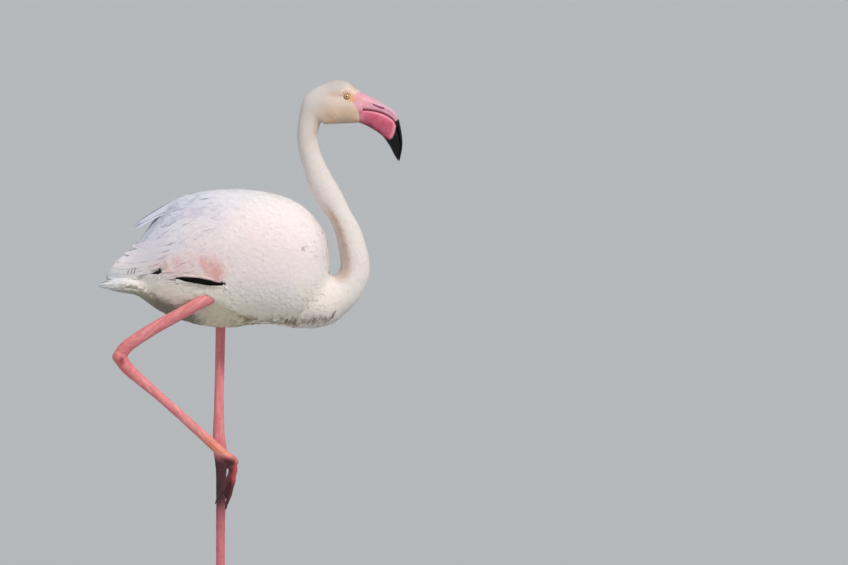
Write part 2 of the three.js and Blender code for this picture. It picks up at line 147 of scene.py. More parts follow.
# Bill in side view, base to tip: top edge, mouth line and lower edge, and the half widths.
CULMEN = np.array([
    [236, 918], [262, 907], [286, 895], [306, 881.5], [314.5, 862], [319.5, 825], [314, 792.5],
])
MOUTH = np.array([
    [236, 882], [254, 884.5], [276, 881.5], [295, 873.8], [308, 860], [315.5, 825], [312, 795],
])
GONYS = np.array([
    [240, 863], [253, 858], [268, 850], [284, 838.5], [296.5, 821.5], [305, 805.5], [312, 794],
])
UPPER_HALF = np.array([16.5, 15, 13.5, 12, 10, 6.5, 2])
LOWER_HALF = np.array([15.5, 15.5, 16, 15.5, 12.5, 7.5, 2])

# How the photograph lies in the frame, for the camera.
PIXEL = 1.75
CAMERA_ELEVATION = 4.0
CAMERA_DISTANCE = 15.0
IMAGE = (848, 565)
ORIGIN_PIXEL = (220, 614)

# ---- small mathematics ---------------------------------------------------------------------------


def smoothstep(low, high, value):
    share = np.clip((np.asarray(value, float) - low) / (high - low), 0, 1)
    return share * share * (3 - 2 * share)


def mix(a, b, share):
    return a + (b - a) * share


def unit(v):
    return v / np.maximum(np.linalg.norm(v, axis=-1, keepdims=True), 1e-12)


def smooth_rows(rows, shares):
    """Catmull-Rom through the rows, at shares from 0 to 1."""
    rows = np.asarray(rows, float)
    last = len(rows) - 1
    place = np.clip(np.asarray(shares, float), 0, 1) * last
    i = np.minimum(place.astype(int), last - 1)
    t = (place - i)[:, None]
    a, b, c, d = (rows[np.clip(i + k, 0, last)] for k in (-1, 0, 1, 2))
    return 0.5 * (2 * b + (c - a) * t + (2 * a - 5 * b + 4 * c - d) * t**2
                  + (3 * b - a - 3 * c + d) * t**3)


LATTICE = np.random.default_rng(5).random((32, 32, 32))


def noise(points, size, shift=0.0):
    """Smooth noise from 0 to 1, with lumps about size millimetres across."""
    p = np.asarray(points, float) / size + shift
    cell = np.floor(p).astype(int)
    f = p - cell
    f = f * f * (3 - 2 * f)
    total = np.zeros(len(p))
    for corner in np.ndindex(2, 2, 2):
        index = (cell + np.array(corner)) % 32
        weight = np.prod(np.where(np.array(corner) == 1, f, 1 - f), axis=1)
        total += LATTICE[index[:, 0], index[:, 1], index[:, 2]] * weight
    return total


# ---- meshes --------------------------------------------------------------------------------------


def grid_faces(sections, around):
    """Quads between the rings of a closed tube, and a face over each end."""
    j = np.arange(around)
    k = (j + 1) % around
    quads = []
    for r in range(sections - 1):
        near, far = r * around, (r + 1) * around
        quads.extend(np.stack([near + j, near + k, far + k, far + j], axis=1).tolist())
    first = list(range(around))[::-1]
    end = [(sections - 1) * around + i for i in range(around)]
    return quads, [first, end]


def ring_points(centre, across, up, a, b, c, around, power=2.0):
    """Rings of points about centres (n, 3): radius a along across, b above and c below along up."""
    angle = 2 * np.pi * np.arange(around) / around
    bend = lambda v: np.sign(v) * np.abs(v) ** (2 / power)
    x, y = bend(np.cos(angle)), bend(np.sin(angle))
    high = np.where(y > 0, b[:, None], c[:, None])
    return (centre[:, None] + across[:, None] * (a[:, None] * x)[..., None]
            + up[:, None] * (high * y)[..., None])


def outward(vertices, faces):
    """The faces, all turned round if the closed surface is inside out."""
    volume = 0.0
    for f in faces:
        o = vertices[f[0]]
        for i in range(1, len(f) - 1):
            volume += np.dot(o, np.cross(vertices[f[i]], vertices[f[i + 1]]))
    return faces if volume > 0 else [f[::-1] for f in faces]


def tube(rings):
    sections, around = rings.shape[:2]
    quads, caps = grid_faces(sections, around)
    vertices = rings.reshape(-1, 3)
    return vertices, outward(vertices, quads + caps)


def upright_rings(stations, sections, around, power=2.15, inset=lambda x: 0 * x):
    row = smooth_rows(stations, np.linspace(0, 1, sections))
    x, top, widest, bottom, half = row.T
    centre = np.stack([x, 0 * x, widest], axis=1)
    across = np.tile([0.0, 1.0, 0.0], (sections, 1))
    up = np.tile([0.0, 0.0, 1.0], (sections, 1))
    sizes = [np.maximum(v - inset(x), 0.5) for v in (half, top - widest, widest - bottom)]
    return ring_points(centre, across, up, *sizes, around, power)


def line_frames(points):
    along = unit(np.gradient(points, axis=0))
    across = np.array([0.0, 1.0, 0.0]) - along * along[:, 1:2]
    across = unit(across)
    return along, across, np.cross(along, across)


def limb_rings(stations, sections, around, span=(0, 1), inset=lambda share: 0 * share):
    """Rings square to a line through stations of x, y, z, radius in the upright plane, sideways."""
    share = np.linspace(*span, sections)
    row = smooth_rows(stations, share)
    points = row[:, :3]
    _, across, up = line_frames(points)
    in_plane = np.maximum(row[:, 3] - inset(share), 0.4)
    sideways = np.maximum(row[:, 4] - inset(share), 0.4)
    return ring_points(points, across, up, sideways, in_plane, in_plane, around)


SPINE = np.insert(NECK, 1, 0.0, axis=1)


def ball(centre, radius):
    around = 32
    angle = np.linspace(0.04, np.pi - 0.04, around // 2)
    centres = np.array(centre, float) + np.outer(np.cos(angle), [0, 0, radius])
    size = radius * np.sin(angle)
    across = np.tile([0.0, 1.0, 0.0], (len(angle), 1))
    up = np.tile([1.0, 0.0, 0.0], (len(angle), 1))
    return tube(ring_points(centres, across, up, size, size, size, around))


def joined(parts):
    vertices, faces, start = [], [], 0
    for v, f in parts:
        vertices.append(v)
        faces.extend([[i + start for i in face] for face in f])
        start += len(v)
    return np.concatenate(vertices), faces


def new_object(name, vertices_mm, faces):
    mesh = bpy.data.meshes.new(name)
    mesh.from_pydata((np.asarray(vertices_mm) * MM).tolist(), [], faces)
    mesh.validate()
    mesh.update()
    obj = bpy.data.objects.new(name, mesh)
    bpy.context.scene.collection.objects.link(obj)
    return obj


def bake_modifiers(obj):
    """Replaces the object's mesh by what its modifiers make of it."""
    graph = bpy.context.evaluated_depsgraph_get()
    made = bpy.data.meshes.new_from_object(obj.evaluated_get(graph), depsgraph=graph)
    obj.modifiers.clear()
    old = obj.data
    obj.data = made
    bpy.data.meshes.remove(old)
    return obj


def remeshed(name, parts, voxel, smooth_steps):
    """One closed skin round overlapping closed parts, with the creases between them softened."""
    obj = new_object(name, *joined(parts))
    remesh = obj.modifiers.new("skin", "REMESH")
    remesh.mode = "VOXEL"
    remesh.voxel_size = voxel * MM
    remesh.use_smooth_shade = True
    smooth = obj.modifiers.new("soften", "SMOOTH")
    smooth.factor = 0.5
    smooth.iterations = smooth_steps
    return bake_modifiers(obj)


def mesh_arrays(obj):
    """Vertices and normals in millimetres, and triangles."""
    mesh = obj.data
    count = len(mesh.vertices)
    v = np.empty(count * 3)
    mesh.vertices.foreach_get("co", v)
    n = np.empty(count * 3)
    mesh.vertices.foreach_get("normal", n)
    mesh.calc_loop_triangles()
    t = np.empty(len(mesh.loop_triangles) * 3, dtype=np.int32)
    mesh.loop_triangles.foreach_get("vertices", t)
    return v.reshape(-1, 3) / MM, n.reshape(-1, 3), t.reshape(-1, 3)


def move_vertices(obj, vertices_mm):
    obj.data.vertices.foreach_set("co", (np.asarray(vertices_mm) * MM).ravel())
    obj.data.update()


def shade_smooth(obj):
    obj.data.polygons.foreach_set("use_smooth", np.ones(len(obj.data.polygons), dtype=bool))


# ---- camera and stage ----------------------------------------------------------------------------


def make_camera():
    elevation = math.radians(CAMERA_ELEVATION)
    aim = Vector((
        (IMAGE[0] / 2 - ORIGIN_PIXEL[0]) * PIXEL * MM,
        0.0,
        (ORIGIN_PIXEL[1] - IMAGE[1] / 2) * PIXEL * MM / math.cos(elevation),
    ))
    data = bpy.data.cameras.new("camera")
    data.sensor_width = 36.0
    data.lens = data.sensor_width * CAMERA_DISTANCE / (IMAGE[0] * PIXEL * MM)
    data.clip_end = 200.0
    camera = bpy.data.objects.new("camera", data)
    bpy.context.scene.collection.objects.link(camera)
    back = Vector((0.0, -math.cos(elevation), math.sin(elevation)))
    camera.location = aim + back * CAMERA_DISTANCE
    camera.rotation_euler = back.to_track_quat("Z", "Y").to_euler()
    bpy.context.scene.camera = camera


def node_material(name):
    material = bpy.data.materials.new(name)
    material.use_nodes = True
    tree = material.node_tree
    shader = tree.nodes["Principled BSDF"]
    return material, tree, shader


def set_inputs(node, values):
    for socket, value in values.items():
        node.inputs[socket].default_value = value


def tinted(tree, shader):
    """The shader's colour is the vertex colour named tint."""
    tint = tree.nodes.new("ShaderNodeVertexColor")
    tint.layer_name = "tint"
    tree.links.new(tint.outputs["Color"], shader.inputs["Base Color"])


def bumped(tree, shader, height, strength, distance):
    """The shader's normal follows a height."""
    bump = tree.nodes.new("ShaderNodeBump")
    set_inputs(bump, {"Strength": strength, "Distance": distance})
    tree.links.new(height, bump.inputs["Height"])
    tree.links.new(bump.outputs["Normal"], shader.inputs["Normal"])


def texture_in_place(tree, kind, scale):
    """A texture node laid out in the object's own coordinates."""
    place = tree.nodes.new("ShaderNodeTexCoord")
    texture = tree.nodes.new(kind)
    set_inputs(texture, {"Scale": scale})
    tree.links.new(place.outputs["Object"], texture.inputs["Vector"])
    return texture, place


def make_stage():
    size = 120.0
    mesh = bpy.data.meshes.new("floor")
    mesh.from_pydata([(-size, -size, 0), (size, -size, 0), (size, size, 0), (-size, size, 0)],
                     [], [(0, 1, 2, 3)])
    floor = bpy.data.objects.new("floor", mesh)
    bpy.context.scene.collection.objects.link(floor)
    material, _, shader = node_material("floor")
    shader.inputs["Base Color"].default_value = (0.42, 0.44, 0.46, 1)
    shader.inputs["Roughness"].default_value = 0.9
    mesh.materials.append(material)

    world = bpy.data.worlds.new("world")
    world.use_nodes = True
    world.node_tree.nodes["Background"].inputs["Color"].default_value = (0.93, 0.95, 1.0, 1)
    world.node_tree.nodes["Background"].inputs["Strength"].default_value = 0.55
    bpy.context.scene.world = world

    def lamp(name, azimuth, elevation, strength, colour, softness):
        data = bpy.data.lights.new(name, "SUN")
        data.energy = strength
        data.color = colour
        data.angle = math.radians(softness)
        light = bpy.data.objects.new(name, data)
        bpy.context.scene.collection.objects.link(light)
        a, e = math.radians(azimuth), math.radians(elevation)
        towards = Vector((math.sin(a) * math.cos(e), -math.cos(a) * math.cos(e), math.sin(e)))
        light.rotation_euler = towards.to_track_quat("Z", "Y").to_euler()

    lamp("key", 38, 46, 2.3, (1.0, 0.965, 0.91), 10)
    lamp("fill", -40, 8, 0.4, (1.0, 0.95, 0.92), 60)
    bpy.context.scene.view_settings.view_transform = "Standard"


make_camera()
make_stage()

# ---- the plumage's outer form --------------------------------------------------------------------

VOXEL = 2.0
NECK_CUT = 13.6 / LAST

# The dark gaps in the folded wing, where the black flight feathers show: upper and lower edge of
# the long one over the flank, then of the short one under the wing tip.
SLITS = (
    {"x": [-77, -60, -45, -30, -16, -4, 4, 13],
     "top": [595.5, 596.5, 596, 595, 591.8, 588.6, 586.9, 586.2],
     "bottom": [594.2, 588, 585.8, 583.4, 581.4, 581.3, 581.9, 584.0], "depth": 9},
    {"x": [-139, -125, -112, -104, -99], "top": [601.5, 603.5, 607, 610.5, 605],
     "bottom": [599.5, 599.5, 599.5, 600, 603], "depth": 6},
)


def in_slit(points, slit, margin=0.0):
    """1 deep inside a slit in side view, falling to 0 at its edge and beyond."""
    x, y, z = np.asarray(points, float).T
    top = np.interp(x, slit["x"], slit["top"]) + margin
    bottom = np.interp(x, slit["x"], slit["bottom"]) - margin
    ends = smoothstep(slit["x"][0] - margin, slit["x"][0] + 8, x)
    ends *= smoothstep(slit["x"][-1] + margin, slit["x"][-1] - 12, x)
    across = np.minimum(top - z, z - bottom)
    return smoothstep(-1.2, 1.6, across) * (ends > 0) * smoothstep(0, 0.3, ends) * (abs(y) > 14)


# The lower edge of the flank's feathers in side view, under which the thigh shows.
FLANK_EDGE = {"x": [-45, -19, 20, 61, 80], "z": [566, 562, 541, 519, 508]}


def under_flank(points):
    """1 on the thigh, below the edge of the flank, and 0 elsewhere."""
    x, _, z = np.asarray(points, float).T
    below = np.interp(x, FLANK_EDGE["x"], FLANK_EDGE["z"]) - z
    return (smoothstep(-0.5, 3.0, below) * smoothstep(-48, -25, x) * smoothstep(74, 50, x))


def grooved(points, normals):
    """The form's points with the slits pressed in, and the thigh set in under the flank."""
    moved = points.copy()
    sideways = smoothstep(0.25, 0.6, abs(normals[:, 1]))
    ledge = 3.0 * under_flank(points) * sideways
    moved[:, 1] -= np.sign(points[:, 1]) * ledge
    for slit in SLITS:
        sideways = smoothstep(0.35, 0.6, abs(normals[:, 1]))
        press = in_slit(points, slit) * slit["depth"] * sideways
        moved -= np.stack([0 * press, np.sign(points[:, 1]) * press, 0 * press], axis=1)
    return moved


def fill_crease(obj, steps):
    """Softens the crease where the neck meets the shoulder by moving its floor outwards only."""
    v, normals, t = mesh_arrays(obj)
    x, y, z = v.T
    weight = smoothstep(108, 135, x) * smoothstep(226, 206, x) * smoothstep(622, 596, z)
    weight *= smoothstep(12, 26, abs(y))
    a = np.concatenate([t[:, 0], t[:, 1], t[:, 2]])
    b = np.concatenate([t[:, 1], t[:, 2], t[:, 0]])
    degree = np.maximum(np.bincount(a, minlength=len(v)), 1)
    for _ in range(steps):
        middle = np.stack([np.bincount(a, weights=v[b, k], minlength=len(v)) for k in range(3)], 1)
        push = ((middle / degree[:, None] - v) * normals).sum(axis=1)
        v = v + normals * (np.maximum(push, 0) * weight)[:, None]
    move_vertices(obj, v)


body_part = tube(upright_rings(BODY, 120, 96))
tail_part = tube(upright_rings(TAIL, 60, 64, power=2.2))
neck_part = tube(limb_rings(SPINE, 220, 64, span=(0, NECK_CUT)))
outer = remeshed("outer", [body_part, tail_part, neck_part], VOXEL, 8)
fill_crease(outer, 90)
outer_v, outer_n, outer_t = mesh_arrays(outer)
plain_tree = BVHTree.FromPolygons(outer_v.tolist(), outer_t.tolist())
move_vertices(outer, grooved(outer_v, outer_n))
outer_v, outer_n, outer_t = mesh_arrays(outer)
bpy.data.objects.remove(outer)

HEAD_VOXEL = 0.8
HEAD_START = (NECK_CUT * LAST - 0.3) / LAST
head_rings = limb_rings(SPINE, 200, 96, span=(HEAD_START, 1))
head_form = remeshed("head_form", [tube(head_rings)], HEAD_VOXEL, 4)


def straight_throat(obj):
    """Draws the underside of the head to the straight line of the throat."""
    v, normals, _ = mesh_arrays(obj)
    x, y, z = v.T
    line = np.interp(x, [177.5, 204, 234, 247], [858.4, 859.8, 861.0, 862.0])
    line = line + 20 - np.sqrt(np.maximum(20**2 - y**2, 0))
    weight = smoothstep(177, 184, x) * smoothstep(250, 244, x) * smoothstep(19, 13, abs(y))
    weight *= smoothstep(-0.2, -0.7, normals[:, 2]) * (z < 875)
    v[:, 2] += (line - z) * weight
    weight = smoothstep(177, 184, x) * smoothstep(250, 244, x)
    v[:, 2] += np.maximum(line - v[:, 2], 0) * weight * 0.9 * (z < 862)
    move_vertices(obj, v)


straight_throat(head_form)
form_head_v, form_head_n, form_head_t = mesh_arrays(head_form)


# The line has to be known here, to tell which part of each form is used.
LINE_POINTS = 320
CHUNK = 20000  # points compared with a line at a time
LINE = smooth_rows(SPINE, np.linspace(0, 1, LINE_POINTS))
LINE_ALONG, LINE_ACROSS, LINE_UP = line_frames(LINE[:, :3])


def on_spine(points):
    """Station number along neck and head, distance in radii, angle round the line and nearest
    point of it."""
    points = np.asarray(points, float)
    nearest = np.empty(len(points), dtype=int)
    for start in range(0, len(points), CHUNK):
        chunk = points[start:start + CHUNK]
        gap = ((chunk[:, None, :] - LINE[None, :, :3]) ** 2).sum(axis=2)
        nearest[start:start + CHUNK] = gap.argmin(axis=1)
    away = points - LINE[nearest, :3]
    side = (away * LINE_ACROSS[nearest]).sum(axis=1)
    up = (away * LINE_UP[nearest]).sum(axis=1)
    radii = np.hypot(side / LINE[nearest, 4], up / LINE[nearest, 3])
    return nearest / (LINE_POINTS - 1) * LAST, radii, np.arctan2(up, side), nearest


# The body and head as one surface to lay feathers on, without the ends that lie inside it.
FORM_JOIN = NECK_CUT * LAST - 0.22
outer_t = outer_t[on_spine(outer_v[outer_t].mean(axis=1))[0] < FORM_JOIN]
form_head_t = form_head_t[on_spine(form_head_v[form_head_t].mean(axis=1))[0] >= FORM_JOIN]
form_v = np.concatenate([outer_v, form_head_v])
form_n = np.concatenate([outer_n, form_head_n])
form_t = np.concatenate([outer_t, form_head_t + len(outer_v)])
form_tree = BVHTree.FromPolygons(form_v.tolist(), form_t.tolist())


def on_form(points):
    """The nearest points of the form and its smooth normals there."""
    found = np.empty((len(points), 3))
    index = np.empty(len(points), dtype=int)
    for i, p in enumerate(points.tolist()):
        place, _, face, _ = form_tree.find_nearest(p)
        found[i] = place
        index[i] = face
    corners = form_v[form_t[index]]
    a, b, c = corners[:, 0], corners[:, 1], corners[:, 2]
    area = np.linalg.norm(np.cross(b - a, c - a), axis=1) + 1e-12
    wa = np.linalg.norm(np.cross(b - found, c - found), axis=1) / area
    wb = np.linalg.norm(np.cross(c - found, a - found), axis=1) / area
    wc = np.clip(1 - wa - wb, 0, 1)
    n = form_n[form_t[index]]
    normal = n[:, 0] * wa[:, None] + n[:, 1] * wb[:, None] + n[:, 2] * wc[:, None]
    return found, unit(normal)


def from_the_side(x, side, z, tree):
    """Where the form is first met from its left (side 1) or right (-1) at x and z."""
    hits = [tree.ray_cast((a, side * 200.0, b), (0.0, -side, 0.0))[0] for a, b in zip(x, z)]
    return np.array([hit if hit is not None else (a, side * 4.0, b)
                     for hit, a, b in zip(hits, x, z)], dtype=float)


# ---- where a point is on the bird ----------------------------------------------------------------

def neck_share(points):
    """1 on the neck and head, 0 on the trunk, and between them at the breast."""
    station, radii, _, _ = on_spine(points)
    return smoothstep(2.2, 4.6, station) * smoothstep(1.45, 1.2, radii)


def face_line(z):
    """How far forward the feathers reach on the side of the face at a height."""
    return np.interp(z, [858, 869.7, 880.7, 891.4, 900.4, 905.8, 911, 915, 920],
                     [248.5, 245.4, 242.7, 237.3, 231, 232, 234.5, 241, 250])


FACE_PINK = np.array([0.735, 0.345, 0.40])


def bare_face(points):
    """1 on the bare skin between the eye and the bill."""
    x, _, z = np.asarray(points, float).T
    return smoothstep(-1.0, 1.0, x - face_line(z)) * (x > 200) * (z > 800)


def body_depth(x):
    return 4.6 - 2.6 * smoothstep(-110, -190, x) - 2.6 * smoothstep(105, 150, x)


def spine_depth(station):
    return np.interp(station, [3, 6, 12, 15, 18, 21], [4.2, 2.4, 1.6, 1.1, 0.7, 0.4])


def coat_depth(points):
    """How far the skin lies under the tips of the feathers."""
    station, _, _, _ = on_spine(points)
    depth = mix(body_depth(points[:, 0]), spine_depth(station), neck_share(points))
    return depth * (1 - 0.97 * bare_face(points))


# ---- markings ------------------------------------------------------------------------------------


def over(tint, colour, amount):
    """The tint with a colour laid over it, by an amount from 0 to 1 at each point."""
    return mix(tint, np.array(colour), np.clip(amount, 0, 1)[:, None])


def blob(x, z, centre, size, soft=0.35):
    """A soft ellipse in side view, 1 inside."""
    far = np.hypot((x - centre[0]) / size[0], (z - centre[1]) / size[1])
    return 1 - smoothstep(1 - soft, 1 + soft, far)


def colour_at(points):
    """Plumage and skin colour, linear, at points of the bird's outer form."""
    p = np.asarray(points, float)
    x, y, z = p.T
    station, radii, angle, _ = on_spine(p)
    neck = smoothstep(1.5, 6.0, station) * smoothstep(2.3, 1.0, radii)
    fine, broad = noise(p, 9), noise(p, 34, 7.3)
    tint = np.tile([0.87, 0.815, 0.80], (len(p), 1))

    def lay(colour, amount):
        nonlocal tint
        tint = over(tint, colour, amount)

    trunk = 1 - neck
    # Cool white on the back, greyer towards the rump, in streaks that follow the long plumes: partly the
    # plumage's own cool tone, mostly painted shade and a painted blue reflection of the sky.
    lay((0.76, 0.78, 0.87), trunk * 0.8 * smoothstep(20, -110, x) * smoothstep(600, 660, z))
    # Painted shade: the top of the back is darkened against the light from above.
    lay((0.71, 0.72, 0.78), trunk * 0.8 * smoothstep(675, 735, z) * smoothstep(130, 20, x))
    # Painted bluish shade over the rear of the back, deepest in streaks between the plumes.
    lay((0.60, 0.63, 0.75), trunk * 0.5 * blob(x, z, (-72, 700), (85, 48), 0.6))
    along, aside = 0.8 * x + 0.6 * z, 0.8 * z - 0.6 * x
    plumes = smoothstep(0.48, 0.72, noise(np.stack([along / 6, y / 3, aside], axis=1), 5.5, 6.1))
    lay((0.42, 0.45, 0.58), trunk * 0.85 * plumes * blob(x, z, (-64, 706), (74, 34), 0.6))
    # Painted shadow under the roots of the free plumes.
    lay((0.44, 0.46, 0.58), trunk * 0.4 * blob(x, z, (-52, 712), (60, 18), 0.9))
    # Painted blue shade on the rump.
    lay((0.60, 0.66, 0.84), trunk * 0.35 * blob(x, z, (-122, 672), (32, 40), 0.6))
    # Painted shade along the shoulder's edge, where the body turns away from the light.
    lay((0.48, 0.42, 0.41), trunk * 0.25 * smoothstep(162, 182, x) * smoothstep(600, 640, z))
    lay((0.80, 0.72, 0.78), trunk * 0.5 * blob(x, z, (-135, 632), (60, 22), 0.6))
    # A breath of pink over the wing.
    lay((0.88, 0.74, 0.74), trunk * (0.25 + 0.6 * broad) * blob(x, z, (40, 650), (150, 75), 0.5))
    # Cream below, partly the plumage's own tone and partly a painted warm reflection from the water, and
    # stained where the belly touches the water.
    front = smoothstep(-30, 60, x)
    low = smoothstep(mix(606, 585, front), mix(560, 530, front), z + 14 * (broad - 0.5))
    lay((0.91, 0.84, 0.70), trunk * 0.85 * low * smoothstep(-200, -150, x))
    lay((0.86, 0.79, 0.72), trunk * 0.9 * smoothstep(120, 165, x) * smoothstep(625, 575, z))
    # Painted shadow of the flank's overhanging edge on the thigh, with darker brown blotches of painted
    # shade just under the edge.
    thigh = under_flank(p)
    lay((0.70, 0.62, 0.45), trunk * 0.75 * thigh)
    edge = np.interp(x, FLANK_EDGE["x"], FLANK_EDGE["z"]) - z
    shade = thigh * smoothstep(15, 4, edge) * smoothstep(10, 40, x)
    lay((0.34, 0.23, 0.11), trunk * 0.7 * shade * smoothstep(0.3, 0.6, fine))
    stain = smoothstep(0.42, 0.68, 0.6 * fine + 0.4 * broad) * smoothstep(530, 508, z)
    lay((0.42, 0.28, 0.14), trunk * 0.8 * stain * smoothstep(0, 40, x) * smoothstep(160, 120, x))
    for place in ((52, 519), (108, 517)):
        patch = blob(x, z, place, (24, 8), 0.7) * smoothstep(0.3, 0.6, fine)
        lay((0.30, 0.19, 0.09), trunk * 0.65 * patch)
    # Painted shade, dark olive, on the underside between the tail and the legs, which faces down; partly
    # the darkness of wet plumage.
    rump = np.interp(x, [-175, -130, -90, -40, 0], [572, 560, 545, 520, 508])
    under = smoothstep(0, 20, rump - z + 17)
    lay((0.13, 0.12, 0.075), trunk * 0.85 * under * smoothstep(-14, -50, x) * smoothstep(-190, -150, x))
    # The tail is greyer, and painted shade makes it olive below.
    lay((0.66, 0.68, 0.71), trunk * 0.8 * smoothstep(-140, -180, x) * smoothstep(612, 598, z))
    lay((0.42, 0.39, 0.28), trunk * 0.75 * smoothstep(579, 570, z) * smoothstep(-105, -150, x))
    # Red blush over the folded flight feathers.
    streak = smoothstep(0.25, 0.7, noise(np.stack([x * 0.9 + z * 0.5, y, z * 0.35], 1), 9, 2.2))
    blush = blob(x, z, (-44, 615), (54, 19), 0.6) * (0.2 + 0.5 * streak)
    blush = np.maximum(blush, blob(x, z, (-4, 603), (13, 12), 1.0) * (0.5 + 0.45 * streak))
    lay((0.84, 0.38, 0.33), trunk * blush)

    for slit in SLITS:
        lay((0.012, 0.010, 0.010), in_slit(p, slit, margin=0.5))
    # Shadow lines run up from the thick end of the short gap, where long feathers part.
    for foot, head in (((-105, 607), (-122, 617)), ((-101, 607), (-94, 616))):
        foot, head = np.array(foot, float), np.array(head, float)
        way = head - foot
        t = np.clip(((x - foot[0]) * way[0] + (z - foot[1]) * way[1]) / (way @ way), 0, 1)
        far = np.hypot(x - foot[0] - t * way[0], z - foot[1] - t * way[1])
        lay((0.20, 0.18, 0.19), trunk * 0.7 * smoothstep(1.8, 0.4, far) * (1 - 0.7 * t))
    # A small dark fleck on the shoulder.
    lay((0.34, 0.24, 0.26), trunk * 0.7 * blob(x, z, (147, 645.5), (2.4, 4.2), 0.5) * (y < 0))

    # Neck: cream, with a tan band down the side that faces the body.
    facing = np.sin(angle)
    close = neck * smoothstep(1.6, 1.2, radii)
    lay((0.78, 0.715, 0.67), neck * 0.85)
    lay((0.66, 0.60, 0.56), neck * 0.2 * smoothstep(690, 760, z) * smoothstep(880, 850, z))
    lay((0.70, 0.62, 0.56), neck * 0.35 * smoothstep(0.5, 0.8, noise(p, 5, 1.9)))
    across = np.maximum(np.exp(-((facing - 0.54) / 0.27) ** 2), 0.45 * smoothstep(0.5, 0.9, facing))
    band = across * smoothstep(3.8, 5.0, station) * smoothstep(10.4, 9.0, station)
    lay((0.53, 0.32, 0.23), close * band * (0.45 + 0.4 * fine))
    # Painted shade in the corner where the neck meets the shoulder, over the tan.
    lay((0.46, 0.34, 0.27), close * 0.6 * blob(x, z, (206, 597), (16, 13), 0.7))
    lay((0.56, 0.46, 0.36), close * 0.2 * smoothstep(12.2, 13.6, station) * smoothstep(16.4, 15.0, station))
    # Painted shadow of the head on the side of the neck below it that faces the throat.
    throat = smoothstep(-0.3, -0.85, facing) * smoothstep(13.0, 14.3, station)
    lay((0.62, 0.47, 0.36), close * 0.8 * throat * smoothstep(16.2, 15.4, station))
    # Head: a peach cheek, a greyer crown and nape, and warm skin by the eye.
    on_head = smoothstep(14.6, 16.2, station) * neck
    lay((0.83, 0.66, 0.56), on_head * 0.85)
    lay((0.57, 0.525, 0.50), on_head * 0.9 * smoothstep(902, 924, z) * smoothstep(242, 208, x))
    lay((0.66, 0.58, 0.51), on_head * 0.85 * smoothstep(206, 170, x))
    lay((0.69, 0.655, 0.66), on_head * 0.7 * smoothstep(194, 160, x) * smoothstep(862, 896, z))
    lay((0.76, 0.62, 0.52), on_head * 0.6 * blob(x, z, (230, 922), (14, 8), 0.7))
    lay((0.83, 0.59, 0.40), on_head * blob(x, z, (214, 870), (44, 20), 0.7) * 0.85)
    lay((0.80, 0.54, 0.38), on_head * smoothstep(873, 858, z) * 0.8)
    lay((0.50, 0.33, 0.21), on_head * smoothstep(867, 859, z) * 0.6)
    lay((0.61, 0.38, 0.30), on_head * blob(x, z, (204, 913), (14, 5), 0.6) * 0.5)
    lay((0.80, 0.50, 0.28), on_head * blob(x, z, (223, 917), (9, 4), 0.8) * 0.35)
    lay((0.81, 0.42, 0.19), on_head * blob(x, z, (229, 906), (7, 7), 0.7) * 0.7)
    lay(FACE_PINK, bare_face(p) * on_head)
    lay((0.60, 0.17, 0.23), bare_face(p) * on_head * smoothstep(887, 881, z) * smoothstep(238, 246, x))
    lay((0.78, 0.34, 0.16), bare_face(p) * on_head * blob(x, z, (231.5, 904.5), (6, 7), 0.6) * 0.8)
    return tint


# ---- feathers ------------------------------------------------------------------------------------

# Which way the feathers of the side lie: x, z, degrees below straight back.
LIE = np.array([
    [150, 700, 26], [125, 700, 16], [100, 725, 8], [40, 735, 6], [-30, 730, 14],
    [-85, 705, 30], [-120, 670, 42],
    [180, 640, 60], [165, 600, 56], [170, 680, 48], [150, 660, 40], [140, 650, 38],
    [90, 680, 26], [40, 690, 24], [-20, 690, 30],
    [-70, 670, 38], [-115, 640, 38], [-150, 615, 28], [-190, 594, 14],
    [90, 620, 34], [30, 630, 32], [-30, 635, 36], [-80, 620, 30], [-120, 603, 14],
    [100, 580, 22], [40, 585, 14], [-20, 590, 10], [-80, 595, 6], [-150, 577, 2], [-205, 577, 2],
    [150, 560, 48], [100, 540, 28], [40, 540, 22], [-20, 545, 18], [-80, 555, 4],
    [180, 530, 62], [140, 515, 50], [60, 510, 20], [0, 508, 8],
])


NECK_ROOT = np.array([207.0, 0.0, 590.0])


def lie_of(points, normals):
    """Unit directions along the surface, from root to tip."""
    p = np.asarray(points, float)
    gap = (p[:, None, 0] - LIE[None, :, 0]) ** 2 + (p[:, None, 2] - LIE[None, :, 1]) ** 2
    weight = 1 / (gap + 150.0) ** 1.6
    angle = np.radians((weight * LIE[None, :, 2]).sum(axis=1) / weight.sum(axis=1))
    over_back = smoothstep(0.55, 0.95, normals[:, 2])
    body = np.stack([-np.cos(angle), 0.22 * np.sign(p[:, 1]) * over_back, -np.sin(angle)], axis=1)
    # In front the feathers part from the root of the neck, up over the back and round the sides.
    body = body + unit(p - NECK_ROOT) * (1.3 * smoothstep(105, 170, p[:, 0]))[:, None]
    share = neck_share(p)[:, None]
    _, _, _, nearest = on_spine(p)
    down_neck = -LINE_ALONG[nearest]
    way = mix(body, down_neck, share)
    way = way - normals * (way * normals).sum(axis=1, keepdims=True)
    return unit(way)


def traced(roots, normals, lengths, shares, turn, free_from):
    """Lines of points that follow the lie over the form, each as long as its feather. Past the
    share free_from they run straight on, clear of the form."""
    centres, ups, ways = [roots], [normals], []
    point, normal = roots, normals
    for before, after in zip(shares[:-1], shares[1:]):
        if before < free_from:
            way = lie_of(point, normal)
            way = unit(way + np.cross(normal, way) * np.tan(turn)[:, None])
        ways.append(way)
        point = point + way * (lengths * (after - before))[:, None]
        if after < free_from:
            point, normal = on_form(point)
        centres.append(point)
        ups.append(normal)
    ways.append(ways[-1])
    return np.stack(centres, 1), np.stack(ups, 1), np.stack(ways, 1)


